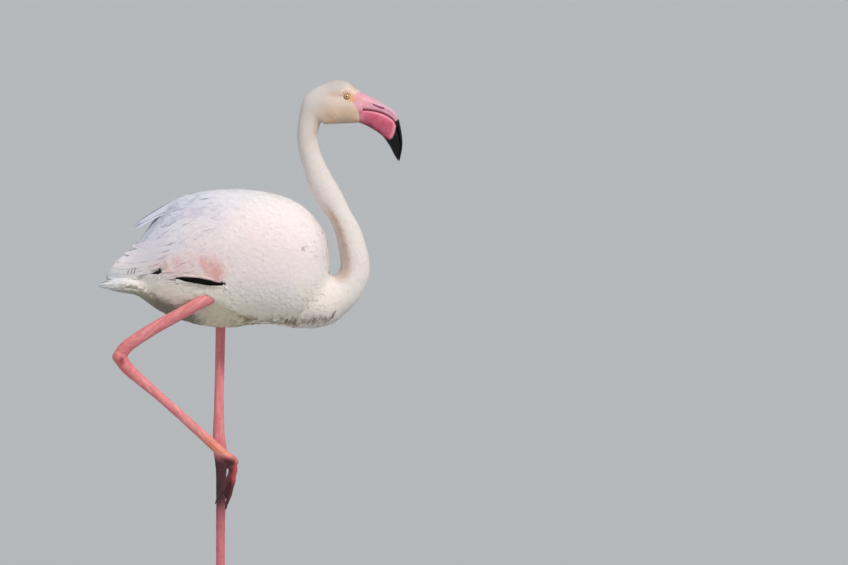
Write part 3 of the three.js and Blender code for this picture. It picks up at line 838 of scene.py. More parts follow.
def scatter(vertices, triangles, keep, spacing, rng):
    """Evenly spread random points on the kept triangles, none nearer than spacing to another."""
    tri = triangles[keep]
    corners = vertices[tri]
    area = 0.5 * np.linalg.norm(
        np.cross(corners[:, 1] - corners[:, 0], corners[:, 2] - corners[:, 0]), axis=1)
    count = int(area.sum() / spacing**2 * 4.5)
    pick = rng.choice(len(tri), size=count, p=area / area.sum())
    r1, r2 = np.sqrt(rng.random(count)), rng.random(count)
    weights = np.stack([1 - r1, r1 * (1 - r2), r1 * r2], axis=1)
    points = (corners[pick] * weights[..., None]).sum(axis=1)
    taken = {}
    chosen = []
    cells = np.floor(points / spacing).astype(int).tolist()
    near = [(i, j, k) for i in (-1, 0, 1) for j in (-1, 0, 1) for k in (-1, 0, 1)]
    limit = spacing * spacing
    for i, (point, cell) in enumerate(zip(points.tolist(), cells)):
        x, y, z = point
        free = True
        for a, b, c in near:
            for q in taken.get((cell[0] + a, cell[1] + b, cell[2] + c), ()):
                if (q[0] - x) ** 2 + (q[1] - y) ** 2 + (q[2] - z) ** 2 < limit:
                    free = False
                    break
            if not free:
                break
        if free:
            taken.setdefault(tuple(cell), []).append(point)
            chosen.append(i)
    return points[chosen]


def vane_template(rows, columns):
    """Faces of one closed feather on a grid of rows by columns, and which of them face down."""
    at = lambda r, c: r * columns + c
    faces, under = [], []
    for r in range(rows - 1):
        for c in range(columns - 1):
            faces.append([at(r, c), at(r, c + 1), at(r + 1, c + 1), at(r + 1, c)])
            under.append(False)
        faces.append([at(r, columns - 1), at(r, 0), at(r + 1, 0), at(r + 1, columns - 1)])
        under.append(True)
    faces.append([at(0, c) for c in reversed(range(columns))])
    faces.append([at(rows - 1, c) for c in range(columns)])
    return faces, under + [True, True]


UV_PATCH = 0.003  # width of one feather's patch on the unwrap


def feather_piece(name, centres, ups, ways, widths, profiles, heights, tints, place, columns,
                  camber, curl=(0.0, 0.0)):
    """One mesh of many closed feathers. centres, ups and ways are (feathers, rows, 3) in mm,
    widths half widths, profiles and heights (feathers, rows), tints (feathers, rows, 3) and
    place (feathers, 2) each root's place on the unwrap. curl is how far the vanes slope and bend
    at their edges, each (feathers, rows)."""
    count, rows = centres.shape[:2]
    s = np.linspace(-1, 1, columns)
    aside = np.cross(ups, ways)
    half = widths[:, None] * profiles
    slope, bend = (np.broadcast_to(part, half.shape)[..., None] for part in curl)
    arch = camber * half[..., None] * (1 - s**2) + slope * s + bend * s**2
    v = (centres[:, :, None] + aside[:, :, None] * (half[..., None] * s)[..., None]
         + ups[:, :, None] * (heights[..., None] + arch)[..., None])
    faces, under = vane_template(rows, columns)
    per = rows * columns

    sizes = np.array([len(f) for f in faces])
    corner = np.concatenate([np.array(f) for f in faces])
    # Grids wind either way, so the first face is checked against the surface normal.
    a, b, c = v[0].reshape(-1, 3)[faces[0][:3]]
    flip = np.dot(np.cross(b - a, c - a), ups[0, 0]) < 0
    if flip:
        corner = np.concatenate([np.array(f[::-1]) for f in faces])
    loops = (corner[None, :] + (np.arange(count) * per)[:, None]).ravel()
    starts = np.concatenate([[0], np.cumsum(np.tile(sizes, count))[:-1]])

    mesh = bpy.data.meshes.new(name)
    mesh.vertices.add(count * per)
    mesh.vertices.foreach_set("co", (v.reshape(-1) * MM).astype(np.float32))
    mesh.loops.add(len(loops))
    mesh.loops.foreach_set("vertex_index", loops.astype(np.int32))
    mesh.polygons.add(len(faces) * count)
    mesh.polygons.foreach_set("loop_start", starts.astype(np.int32))
    mesh.polygons.foreach_set("use_smooth", np.tile(~np.array(under), count))
    mesh.update(calc_edges=True)
    # The outline of each feather is a sharp edge, so that its upper side is lit as one soft sheet.
    ends = np.empty(len(mesh.edges) * 2, dtype=np.int32)
    mesh.edges.foreach_get("vertices", ends)
    row, column = np.divmod(ends.reshape(-1, 2) % per, columns)
    side = (column[:, 0] == column[:, 1]) & np.isin(column[:, 0], (0, columns - 1))
    end = (row[:, 0] == row[:, 1]) & np.isin(row[:, 0], (0, rows - 1))
    sharp = mesh.attributes.new("sharp_edge", "BOOLEAN", "EDGE")
    sharp.data.foreach_set("value", side | end)

    vane = mesh.attributes.new("vane", "FLOAT_VECTOR", "POINT")
    step = np.linalg.norm(np.diff(centres, axis=1), axis=2)
    along = np.concatenate([np.zeros((count, 1)), np.cumsum(step, axis=1)], axis=1)
    flat = np.stack(np.broadcast_arrays(half[..., None] * s, along[..., None], 0.0), axis=-1)
    vane.data.foreach_set("vector", flat.astype(np.float32).ravel())

    attribute = mesh.color_attributes.new("tint", "FLOAT_COLOR", "POINT")
    rgba = np.ones((count, rows, columns, 4), dtype=np.float32)
    rgba[..., :3] = tints[:, :, None]
    attribute.data.foreach_set("color", rgba.ravel())

    layer = mesh.uv_layers.new(name="OFBake")
    u = place[:, 0, None, None] + UV_PATCH * 0.5 * s[None, None, :]
    w = place[:, 1, None, None] + UV_PATCH * (np.linspace(0, 1, rows)[None, :, None] - 0.5)
    grid = np.stack(np.broadcast_arrays(u, w), axis=-1)
    uv = np.broadcast_to(grid, (count, rows, columns, 2)).reshape(-1, 2)[loops]
    layer.data.foreach_set("uv", uv.astype(np.float32).ravel())

    obj = bpy.data.objects.new(name, mesh)
    bpy.context.scene.collection.objects.link(obj)
    return obj


def body_place(points):
    """A place on an unwrap of the trunk: along it, and round it from the belly."""
    x, y, z = points.T
    angle = np.arctan2(y, -(z - 625)) / (2 * np.pi) + 0.5
    return np.stack([0.02 + 0.96 * (x + 215) / 480, 0.02 + 0.96 * angle], axis=1)


def spine_place(points, low, high):
    station, _, angle, _ = on_spine(points)
    along = np.clip((station - low) / (high - low), 0, 1)
    return np.stack([0.02 + 0.96 * along, 0.02 + 0.96 * (angle / (2 * np.pi) + 0.5)], axis=1)


# Half width along a feather, as (share of the length, share of the full half width).
CONTOUR = ((0, 0.3), (0.3, 0.85), (0.55, 1.0), (0.75, 0.95), (0.88, 0.74), (0.96, 0.42), (1, 0.1))
TUFT = ((0, 0.55), (0.4, 1.0), (0.75, 0.75), (1, 0.12))
LANCE = ((0, 0.4), (0.15, 0.8), (0.4, 1.0), (0.62, 0.86), (0.8, 0.56), (0.92, 0.27), (1, 0.03))
ROUND = ((0, 0.5), (0.2, 0.9), (0.5, 1.0), (0.8, 0.96), (0.93, 0.72), (0.98, 0.4), (1, 0.08))


def shares_of(shape, rows):
    """Where along a feather its rows lie: closer together towards the tip."""
    return 1 - (1 - np.linspace(0, 1, rows)) ** (1.0 if shape is TUFT else 1.45)


def profile_of(shape, shares):
    t, w = np.array(shape).T
    return np.interp(shares, t, w)


def rising(root, layer, lift, shares):
    """Heights of feathers: up from the skin near the root, then a slight slope to the tip, so that
    each lies over the ones behind it."""
    out_of_skin = (root - layer)[:, None] * (1 - smoothstep(0, 0.35, shares))
    slope = layer[:, None] * (1 - shares) ** 1.15
    return -out_of_skin - slope + lift[:, None] * shares**2.5


def piece(obj, material):
    obj.data.materials.clear()
    obj.data.materials.append(material)
    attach(obj, "root")
    return obj


# ---- skin: trunk, neck and head ------------------------------------------------------------------


def trunk_skin():
    body = upright_rings(BODY, 110, 80, inset=body_depth)
    tail = upright_rings(TAIL, 50, 48, power=2.2, inset=lambda x: 2.2 + 0 * x)
    neck = limb_rings(SPINE, 200, 48, span=(0, NECK_CUT + 0.02),
                      inset=lambda share: spine_depth(share * LAST) + 0.25)
    skin = remeshed("trunk_skin", [tube(body), tube(tail), tube(neck)], VOXEL * 1.25, 6)
    fill_crease(skin, 58)
    v, n, _ = mesh_arrays(skin)
    move_vertices(skin, grooved(v, n))
    return skin


def eye_gap(points):
    """Distance from the axis of the eye, in side view."""
    return np.hypot(points[:, 0] - EYE[0], points[:, 2] - EYE[1])


def refined(obj, centre_xz, reach):
    """Halves the mesh size about an axis across the bird."""
    mesh = bmesh.new()
    mesh.from_mesh(obj.data)
    middle = [c * MM for c in centre_xz]
    close = [e for e in mesh.edges
             if math.hypot(e.verts[0].co.x - middle[0], e.verts[0].co.z - middle[1]) < reach * MM]
    bmesh.ops.subdivide_edges(mesh, edges=close, cuts=1, use_grid_fill=True)
    bmesh.ops.triangulate(mesh, faces=[f for f in mesh.faces if len(f.verts) > 4])
    mesh.to_mesh(obj.data)
    mesh.free()
    obj.data.update()


def head_skin():
    skin = head_form
    skin.name = "head_skin"
    refined(skin, EYE, 13)
    v, normals, _ = mesh_arrays(skin)
    station, _, _, _ = on_spine(v)
    dip = 1.4 * smoothstep(HEAD_START * LAST + 0.3, HEAD_START * LAST + 0.05, station)
    flat = v - normals * (coat_depth(v) + dip)[:, None]
    # Bare skin between eye and bill, a little sunken, with fine folds that run from the eye.
    x, y, z = flat.T
    side = np.sign(y)
    bare = bare_face(v)
    gap = eye_gap(flat)
    folds = np.sin((z - 0.35 * x) * 2.1) * bare * smoothstep(6.5, 9, gap)
    hollow = blob(x, z, (240, 899), (12, 5), 0.8) * abs(y) / 24
    shift = 0.14 * folds - 0.9 * hollow
    # The eye lies in a socket, under a low brow, and the lids close round it in a raised rim.
    socket = 1.4 * np.exp(-((gap - 9.4) / 2.2) ** 2) * (0.6 + 0.4 * (z > EYE[1]))
    brow = 0.9 * np.exp(-((gap - 12.6) / 2.4) ** 2) * smoothstep(0, 8, z - EYE[1])
    shift += (brow - socket) * (abs(y) > 12)
    flat = flat + normals * shift[:, None]
    x, y, z = flat.T
    gap = eye_gap(flat)
    near = (abs(y) > 12) & (z > 880)
    # The opening is a little longer than high, and drawn to a point in front and behind.
    slant = np.hypot((x - EYE[0]) / 1.12, z - EYE[1])
    lid_height = EYE_CENTRE + np.sqrt(np.maximum(EYE_RADIUS**2 - gap**2, 0)) + 0.6
    opening = 3.5
    lid = smoothstep(opening + 3.6, opening + 0.9, slant)
    inside = smoothstep(opening + 0.1, opening - 0.5, slant)
    high = mix(abs(y), np.maximum(lid_height, EYE_CENTRE + 4.2), lid * near)
    high = mix(high, EYE_CENTRE + 1.0, inside * near)
    flat[:, 1] = side * high
    move_vertices(skin, flat)
    return skin


# ---- skin: legs and feet -------------------------------------------------------------------------


def toe_line(leg, name):
    """Stations of one toe from the knuckle to its tip: x, y, z and two radii."""
    joint = np.array(KNUCKLE[leg], float)
    if leg == "left":
        angle = math.radians(TOE_SPREAD[name])
        way = np.array([math.cos(angle), math.sin(angle), 0.0]) * TOE_LENGTH[name]
        rows = ([(0.3, 12, 3.4), (0.7, 9, 2.8), (1, 6, 2.2)] if name == "hind" else
                [(0, 8.5, 8), (0.16, 5.6, 6.6), (0.42, 4, 4.4), (0.72, 3.4, 3.9), (1, 2.8, 2.9)])
        return np.array([[*(way * share)[:2], height, radius, radius * 1.15]
                         for share, height, radius in rows])
    tip = np.array(HANGING_TIPS[name], float)
    rows = ([(0.3, 0, 3.4), (0.7, 0, 2.8), (1, 0, 2.2)] if name == "hind" else
            [(0.02, 0, 8), (0.2, 3.5, 6), (0.45, 5, 4.4), (0.75, 3, 3.9), (1, 0, 2.9)])
    return np.array([[*(mix(joint, tip, share) + [bow, 0, 0]), radius, radius * 1.1]
                     for share, bow, radius in rows])


def toe_part(leg, name):
    """A toe with a pad at each of its joints and a rounded tip."""
    line = toe_line(leg, name)
    sections = 40
    share = np.linspace(0, 1, sections)
    row = smooth_rows(line, share)
    knobs = 1 + 0.09 * np.cos(share * (2 if name == "hind" else 4) * 2 * np.pi)
    row[:, 3:] *= knobs[:, None]
    end = 1 - smoothstep(0.93, 1.0, share) * 0.55
    row[:, 3:] *= end[:, None]
    _, across, up = line_frames(row[:, :3])
    rings = ring_points(row[:, :3], across, up, row[:, 4], row[:, 3], row[:, 3], 24)
    if leg == "left":
        rings[..., 2] = np.maximum(rings[..., 2], 0.05)
    return tube(rings)


def web_part(leg, names):
    """The web between two toes, a thin sheet with a scalloped edge that sags between them."""
    joint = np.array(KNUCKLE[leg], float)
    n = 26
    share = np.linspace(0.02, 0.88, n)
    sides = []
    for name in names:
        line = toe_line(leg, name)
        points = smooth_rows(line, share)[:, :3]
        sides.append(points)
    s = np.linspace(0, 1, n)
    top = sides[0][:, None] * (1 - s)[None, :, None] + sides[1][:, None] * s[None, :, None]
    # The free edge is drawn in between the toes.
    pull = 1 - 0.20 * np.sin(np.pi * s)[None, :] * share[:, None] ** 1.5
    top = joint + (top - joint) * pull[..., None]
    if leg == "left":
        top[..., 2] = 1.15
    else:
        sag = 4.5 * np.sin(np.pi * s)[None, :] * share[:, None]
        ripple = 1.1 * np.sin(3 * np.pi * s)[None, :] * share[:, None]
        top[..., 0] -= sag + ripple
    normal = np.cross(np.gradient(top, axis=0), np.gradient(top, axis=1))
    normal = unit(normal) * WEB_THICKNESS / 2
    upper, lower = (top + normal).reshape(-1, 3), (top - normal).reshape(-1, 3)
    at = lambda i, j: i * n + j
    faces = []
    for i in range(n - 1):
        for j in range(n - 1):
            a, b, c, d = at(i, j), at(i, j + 1), at(i + 1, j + 1), at(i + 1, j)
            faces.append([a, b, c, d])
            faces.append([d + n * n, c + n * n, b + n * n, a + n * n])
    edge = ([at(0, j) for j in range(n - 1)] + [at(i, n - 1) for i in range(n - 1)]
            + [at(n - 1, j) for j in range(n - 1, 0, -1)] + [at(i, 0) for i in range(n - 1, 0, -1)])
    for k, a in enumerate(edge):
        b = edge[(k + 1) % len(edge)]
        faces.append([b, a, a + n * n, b + n * n])
    vertices = np.concatenate([upper, lower])
    return vertices, outward(vertices, faces)


def leg_parts(leg):
    shank, tarsus = np.array(SHANK[leg], float), np.array(TARSUS[leg], float)
    yield tube(limb_rings(shank, 90, 32, inset=lambda share: 7.5 * smoothstep(0.12, 0, share)**2))
    yield tube(limb_rings(tarsus, 80, 32))
    yield ball(ANKLE[leg], ANKLE_RADIUS[leg])
    yield ball(KNUCKLE[leg], KNUCKLE_RADIUS - 0.6)
    for name in (*FRONT_TOES, "hind"):
        yield toe_part(leg, name)
    yield web_part(leg, ("inner", "middle"))
    yield web_part(leg, ("middle", "outer"))


LEG_VOXEL = 0.95


def legs_skin():
    parts = [part for leg in ("left", "right") for part in leg_parts(leg)]
    skin = remeshed("legs_skin", parts, LEG_VOXEL, 3)
    v, n, _ = mesh_arrays(skin)
    v[:, 2] = np.maximum(v[:, 2], 0.0)
    # Rings of scutes down the tarsi, clear of the ankle and the toe joint.
    for leg in ("left", "right"):
        line = smooth_rows(TARSUS[leg], np.linspace(0, 1, 200))[:, :3]
        near = ((v[:, None, :] - line[None, ::4]) ** 2).sum(axis=2)
        where = near.argmin(axis=1) * 4
        along = np.concatenate([[0], np.cumsum(np.linalg.norm(np.diff(line, axis=0), axis=1))])
        place = along[where]
        close = near.min(axis=1) < 15**2
        ring = 0.16 * np.sin(place * 2 * np.pi / 5.2) * smoothstep(20, 34, place)
        ring *= smoothstep(along[-1] - 12, along[-1] - 26, place)
        v += n * (ring * close)[:, None]
    move_vertices(skin, v)
    return skin


def united(target, *others):
    for other in others:
        boolean = target.modifiers.new("join", "BOOLEAN")
        boolean.operation = "UNION"
        boolean.solver = "MANIFOLD"
        boolean.object = other
    bake_modifiers(target)
    for other in others:
        bpy.data.objects.remove(other)
    return target


FLESH = ["trunk", "wing_right", "wing_left", "plume_right", "plume_left", "tail", "neck_base",
         "neck_middle", "neck_top", "head"]
FLESH += [f"{part}_{leg}" for part in ("shank", "tarsus", "foot", "hind_toe")
          for leg in ("left", "right")]

LEG_LINES = []
for leg_name in ("left", "right"):
    shank_line = smooth_rows(SHANK[leg_name], np.linspace(0, 1, 120))
    tarsus_line = smooth_rows(TARSUS[leg_name], np.linspace(0, 1, 120))
    LEG_LINES.append((leg_name, shank_line, tarsus_line))


LEG_MARGIN = 2.2  # how far off the leg's surface a point still counts as leg
FOOT_REACH = 96
FOOT_TOP = 14  # above the toe joint


def leg_colour(points):
    """Colour of the bare legs and feet, and how much of a point is leg."""
    tint = np.tile([0.62, 0.165, 0.19], (len(points), 1))
    share = np.zeros(len(points))
    fine, broad = noise(points, 5.5), noise(points, 22, 3.1)
    z = points[:, 2]
    standing = np.zeros(len(points), dtype=bool)
    for leg, shank_line, tarsus_line in LEG_LINES:
        line = np.concatenate([shank_line, tarsus_line])
        near = np.full(len(points), 1e9)
        for start in range(0, len(points), CHUNK):
            chunk = points[start:start + CHUNK]
            gap = np.sqrt(((chunk[:, None] - line[None, :, :3]) ** 2).sum(axis=2))
            near[start:start + CHUNK] = (gap - line[None, :, 3]).min(axis=1)
        foot = np.linalg.norm(points - np.array(KNUCKLE[leg]), axis=1) < FOOT_REACH
        low = z < KNUCKLE[leg][2] + FOOT_TOP
        mine = ((near < LEG_MARGIN) | (foot & low)) & ~standing
        if leg == "left":
            standing = near < LEG_MARGIN
        share = np.maximum(share, mine)
        own = standing_colour(points, fine) if leg == "left" else raised_colour(points, fine, broad)
        tint = np.where(mine[:, None], own, tint)
    return tint, share


def leg_highlight_streaks(points, leg):
    """Noise drawn out along the leg, for pale and dark lines down the skin: painted highlights and painted
    shade in streaks.
    """
    x, y, z = points.T
    if leg == "left":
        return noise(np.stack([x, y, z / 9], axis=1), 2.6, 3.7)
    along = np.where(x < ANKLE["right"][0] + 40, 0.0, 1.0)
    high = z > np.interp(x, [-175, 0], [470, 400])
    rise = np.where(high, 0.64, -0.82) * along
    run = np.sqrt(1 - rise**2)
    return noise(np.stack([(x * run + z * rise) / 9, y, z * run - x * rise], axis=1), 2.6, 3.7)


def standing_colour(points, fine):
    z = points[:, 2]
    streak = leg_highlight_streaks(points, "left")
    tint = np.tile([0.70, 0.215, 0.235], (len(points), 1))
    # Painted highlights in pale streaks and painted shade in dark streaks down the leg.
    tint = over(tint, [0.80, 0.36, 0.35], 0.4 * smoothstep(0.45, 0.85, streak))
    tint = over(tint, [0.52, 0.13, 0.15], 0.28 * smoothstep(0.45, 0.15, streak))
    joint = smoothstep(34, 12, abs(z - 282))
    tint = over(tint, [0.54, 0.13, 0.15], 0.5 * joint)
    # Painted shadow of the raised foot, over wet skin, darkens the tarsus from the ankle down.
    wet_and_shade = smoothstep(284, 262, z) * smoothstep(120, 205, z)
    tint = over(tint, [0.035, 0.011, 0.014], 0.94 * wet_and_shade)
    low = smoothstep(200, 170, z)
    tint = over(tint, [0.46, 0.13, 0.15], 0.6 * low)
    foot = smoothstep(20, 6, z)
    tint = over(tint, [0.34, 0.07, 0.09], 0.7 * foot)
    return over(tint, tint * 0.6, 0.25 * smoothstep(0.5, 0.75, fine))


def raised_colour(points, fine, broad):
    x, y, z = points.T
    streak = leg_highlight_streaks(points, "right")
    tint = np.tile([0.74, 0.235, 0.24], (len(points), 1))
    # Painted highlights in pale streaks and painted shade in dark streaks down the leg.
    tint = over(tint, [0.86, 0.42, 0.40], 0.4 * smoothstep(0.45, 0.85, streak))
    tint = over(tint, [0.56, 0.14, 0.155], 0.28 * smoothstep(0.45, 0.15, streak))
    joint = smoothstep(46, 16, np.hypot(x + 174.5, z - 455))
    tint = over(tint, [0.58, 0.14, 0.15], 0.5 * joint)
    tint = over(tint, [0.30, 0.035, 0.05], 0.7 * blob(x, z, (-170, 448), (4, 7), 0.6))
    # The lower end of the tarsus has an orange painted highlight, with a dark line of painted shade down
    # the groove between its tendons.
    orange_highlight = smoothstep(330, 300, z) * smoothstep(274, 290, z)
    tint = over(tint, [0.76, 0.27, 0.15], 0.65 * orange_highlight)
    centre = np.interp(z, [270, 285.5, 317], [23.5, 4, -29.5])
    line = smoothstep(1.6, 0.4, abs(x - centre + 1.5)) * (y < -40)
    tint = over(tint, [0.30, 0.06, 0.05], 0.6 * line * orange_highlight)
    # The foot is dark red, darkened by painted shade inside the fold, and its lower half nearly black,
    # partly mud and partly painted shade.
    foot = smoothstep(284, 270, z)
    tint = over(tint, [0.44, 0.045, 0.05], 0.9 * foot)
    # A painted highlight on the knuckle.
    knuckle = blob(x, z, (27, 274), (5, 7), 0.6)
    tint = over(tint, [0.72, 0.28, 0.24], 0.6 * knuckle)
    inner = foot * smoothstep(9, 3, x - np.interp(z, [200, 275], [6, 22]))
    tint = over(tint, [0.055, 0.014, 0.018], 0.9 * inner)
    tip = foot * smoothstep(242, 224, z + 5 * (broad - 0.5))
    tint = over(tint, [0.045, 0.012, 0.016], 0.85 * tip)
    return over(tint, tint * 0.6, 0.25 * smoothstep(0.5, 0.75, fine))


def add_tint(mesh, name, rgb):
    attribute = mesh.color_attributes.new(name, "FLOAT_COLOR", "POINT")
    rgba = np.ones((len(rgb), 4), dtype=np.float32)
    rgba[:, :3] = rgb
    attribute.data.foreach_set("color", rgba.ravel())


def skin_material():
    material, tree, shader = node_material("skin")
    tinted(tree, shader)
    scale, place = texture_in_place(tree, "ShaderNodeTexVoronoi", 420.0)
    scale.feature = "DISTANCE_TO_EDGE"
    ramp = tree.nodes.new("ShaderNodeMapRange")
    set_inputs(ramp, {"From Max": 0.16})
    tree.links.new(scale.outputs["Distance"], ramp.inputs["Value"])
    # The scales are those of the legs. The bare face is nearly smooth.
    parts = tree.nodes.new("ShaderNodeSeparateXYZ")
    high = tree.nodes.new("ShaderNodeMapRange")
    set_inputs(high, {"From Min": 0.60, "From Max": 0.75, "To Min": 1.0, "To Max": 0.2})
    tree.links.new(place.outputs["Object"], parts.inputs["Vector"])
    tree.links.new(parts.outputs["Z"], high.inputs["Value"])
    product = tree.nodes.new("ShaderNodeMath")
    product.operation = "MULTIPLY"
    tree.links.new(ramp.outputs["Result"], product.inputs[0])
    tree.links.new(high.outputs["Result"], product.inputs[1])
    bumped(tree, shader, product.outputs["Value"], 0.3, 0.0004)
    set_inputs(shader, {"Roughness": 0.48, "Specular IOR Level": 0.3})
    return material


def make_skin():
    skin = united(trunk_skin(), head_skin(), legs_skin())
    skin.name = "skin"
    shade_smooth(skin)
    v, _, _ = mesh_arrays(skin)
    body = colour_at(v)
    leg, share = leg_colour(v)
    gap = eye_gap(v)
    lids = (gap < 9) * (v[:, 2] > 850) * (abs(v[:, 1]) > 14)
    ahead = smoothstep(-3.5, 3.5, v[:, 0] - EYE[0] + 0.6 * (v[:, 2] - EYE[1]))
    rim = smoothstep(7.4, 5.4, gap) * lids
    body = over(body, [0.78, 0.33, 0.15], 0.85 * rim * ahead)
    body = over(body, [0.36, 0.18, 0.13], 0.8 * rim * (1 - ahead))
    edge = smoothstep(4.9, 4.1, gap) * lids
    body = over(body, [0.10, 0.04, 0.03], 0.85 * edge)
    add_tint(skin.data, "tint", mix(body, leg, share[:, None]))
    piece(skin, skin_material())
    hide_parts(*FLESH)
    return skin


make_skin()

# ---- bill ----------------------------------------------------------------------------------------

BILL_SECTIONS, BILL_AROUND = ((110, 88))


def mandible_rings(top_line, bottom_line, halves, arch):
    """Rings down the bill; also each ring's share from base to tip and each point's height
    from the mouth (0) to the crown (1)."""
    share = np.sin(np.linspace(0, np.pi / 2, BILL_SECTIONS))
    top = smooth_rows(top_line, share)
    bottom = smooth_rows(bottom_line, share)
    half = smooth_rows(halves[:, None], share)[:, 0]
    mouth, crown = (bottom, top) if arch else (top, bottom)
    up2 = mouth - crown
    depth = np.linalg.norm(up2, axis=1)
    up2 = up2 / depth[:, None]
    centre2 = mix(mouth, crown, 0.22)
    centre = np.stack([centre2[:, 0], 0 * share, centre2[:, 1]], axis=1)
    up = np.stack([up2[:, 0], 0 * share, up2[:, 1]], axis=1)
    across = np.tile([0.0, 1.0, 0.0], (len(share), 1))
    rings = ring_points(centre, across, up, half, depth * 0.22, depth * 0.78, BILL_AROUND, 2.3)
    # The last rings close to a rounded tip.
    end = np.sqrt(np.clip((1 - share) / 0.035, 0, 1))
    middle = rings.mean(axis=1, keepdims=True)
    rings = middle + (rings - middle) * np.maximum(end, 0.05)[:, None, None]
    away = (rings - np.stack([mouth[:, 0], 0 * share, mouth[:, 1]], axis=1)[:, None]) * -up[:, None]
    height = away.sum(axis=2) / np.maximum(depth, 0.5)[:, None]
    return rings, np.broadcast_to(share[:, None], height.shape), height


NOSTRIL = np.array([[268.5, 893], [274, 890.6], [280, 888.3], [286, 886.8]])


def bill_material(name, roughness):
    material, tree, shader = node_material(name)
    tinted(tree, shader)
    grain, _ = texture_in_place(tree, "ShaderNodeTexNoise", 420.0)
    set_inputs(grain, {"Detail": 3.0})
    bumped(tree, shader, grain.outputs["Fac"], 0.12, 0.0004)
    set_inputs(shader, {"Roughness": roughness, "Specular IOR Level": 0.25})
    return material


BLACK_HORN = np.array([0.005, 0.004, 0.005])


def make_upper_bill(material):
    rings, share, height = mandible_rings(CULMEN, MOUTH, UPPER_HALF, arch=True)
    flat = rings.reshape(-1, 3)
    x, y, z = flat.T
    share, height = share.ravel(), height.ravel()
    line = smooth_rows(NOSTRIL, np.linspace(0, 1, 60))
    gap = np.sqrt(((flat[:, None, [0, 2]] - line[None]) ** 2).sum(axis=2)).min(axis=1)
    slit = smoothstep(1.7, 0.5, gap) * (abs(y) > 4)
    lip = np.exp(-((gap - 2.8) / 1.1) ** 2) * (abs(y) > 4)
    # A shallow channel runs from the nostril forward, and the side is a little hollow behind it.
    channel = np.exp(-((height - 0.5) / 0.16) ** 2) * smoothstep(0.08, 0.25, share)
    channel *= smoothstep(0.75, 0.5, share)
    y = y - np.sign(y) * (2.4 * slit - 0.35 * lip + 0.9 * channel * smoothstep(3, 7, abs(y)))
    # The cutting edge turns out in a thin lip along the mouth.
    edge = smoothstep(0.12, 0.02, height) * smoothstep(0.05, 0.12, share) * smoothstep(0.98, 0.8, share)
    y = y + np.sign(y) * 0.7 * edge * (abs(y) > 3)
    flat = np.stack([x, y, z], axis=1)

    fine, broad = noise(flat, 2.2), noise(flat, 11, 4.4)
    tint = np.tile([0.64, 0.34, 0.43], (len(flat), 1))
    # A painted lilac highlight along the ridge and in pale streaks down the upper half.
    crown = smoothstep(0.45, 0.9, height)
    tint = over(tint, [0.56, 0.40, 0.48], 0.8 * crown * smoothstep(0.1, 0.3, share))
    grain = noise(np.stack([share * 9, 12 * height, np.sign(y) + 0 * y], axis=1), 1.0, 5.3)
    grain = grain * smoothstep(0.12, 0.3, share)
    tint = over(tint, [0.78, 0.62, 0.68], 0.4 * smoothstep(0.5, 0.85, grain))
    tint = over(tint, [0.46, 0.18, 0.27], 0.55 * channel * (abs(y) > 3))
    tint = over(tint, [0.60, 0.21, 0.31], 0.5 * broad * (1 - crown))
    tint = over(tint, [0.76, 0.50, 0.55], 0.6 * edge)
    dark = smoothstep(1.4, 0.5, gap) * (abs(y) > 3)
    tint = over(tint, [0.22, 0.04, 0.08], 0.9 * dark)
    tint = over(tint, FACE_PINK, smoothstep(0.36, 0.12, share))
    culmen_black = smoothstep(-0.008, 0.008, share - 0.637 + 0.014 * height + 0.012 * (fine - 0.5))
    tint = over(tint, BLACK_HORN, culmen_black)
    tint *= (0.94 + 0.12 * fine)[:, None]
    return finish_bill("bill_upper_horn", flat.reshape(rings.shape), tint, material, "bill_upper")


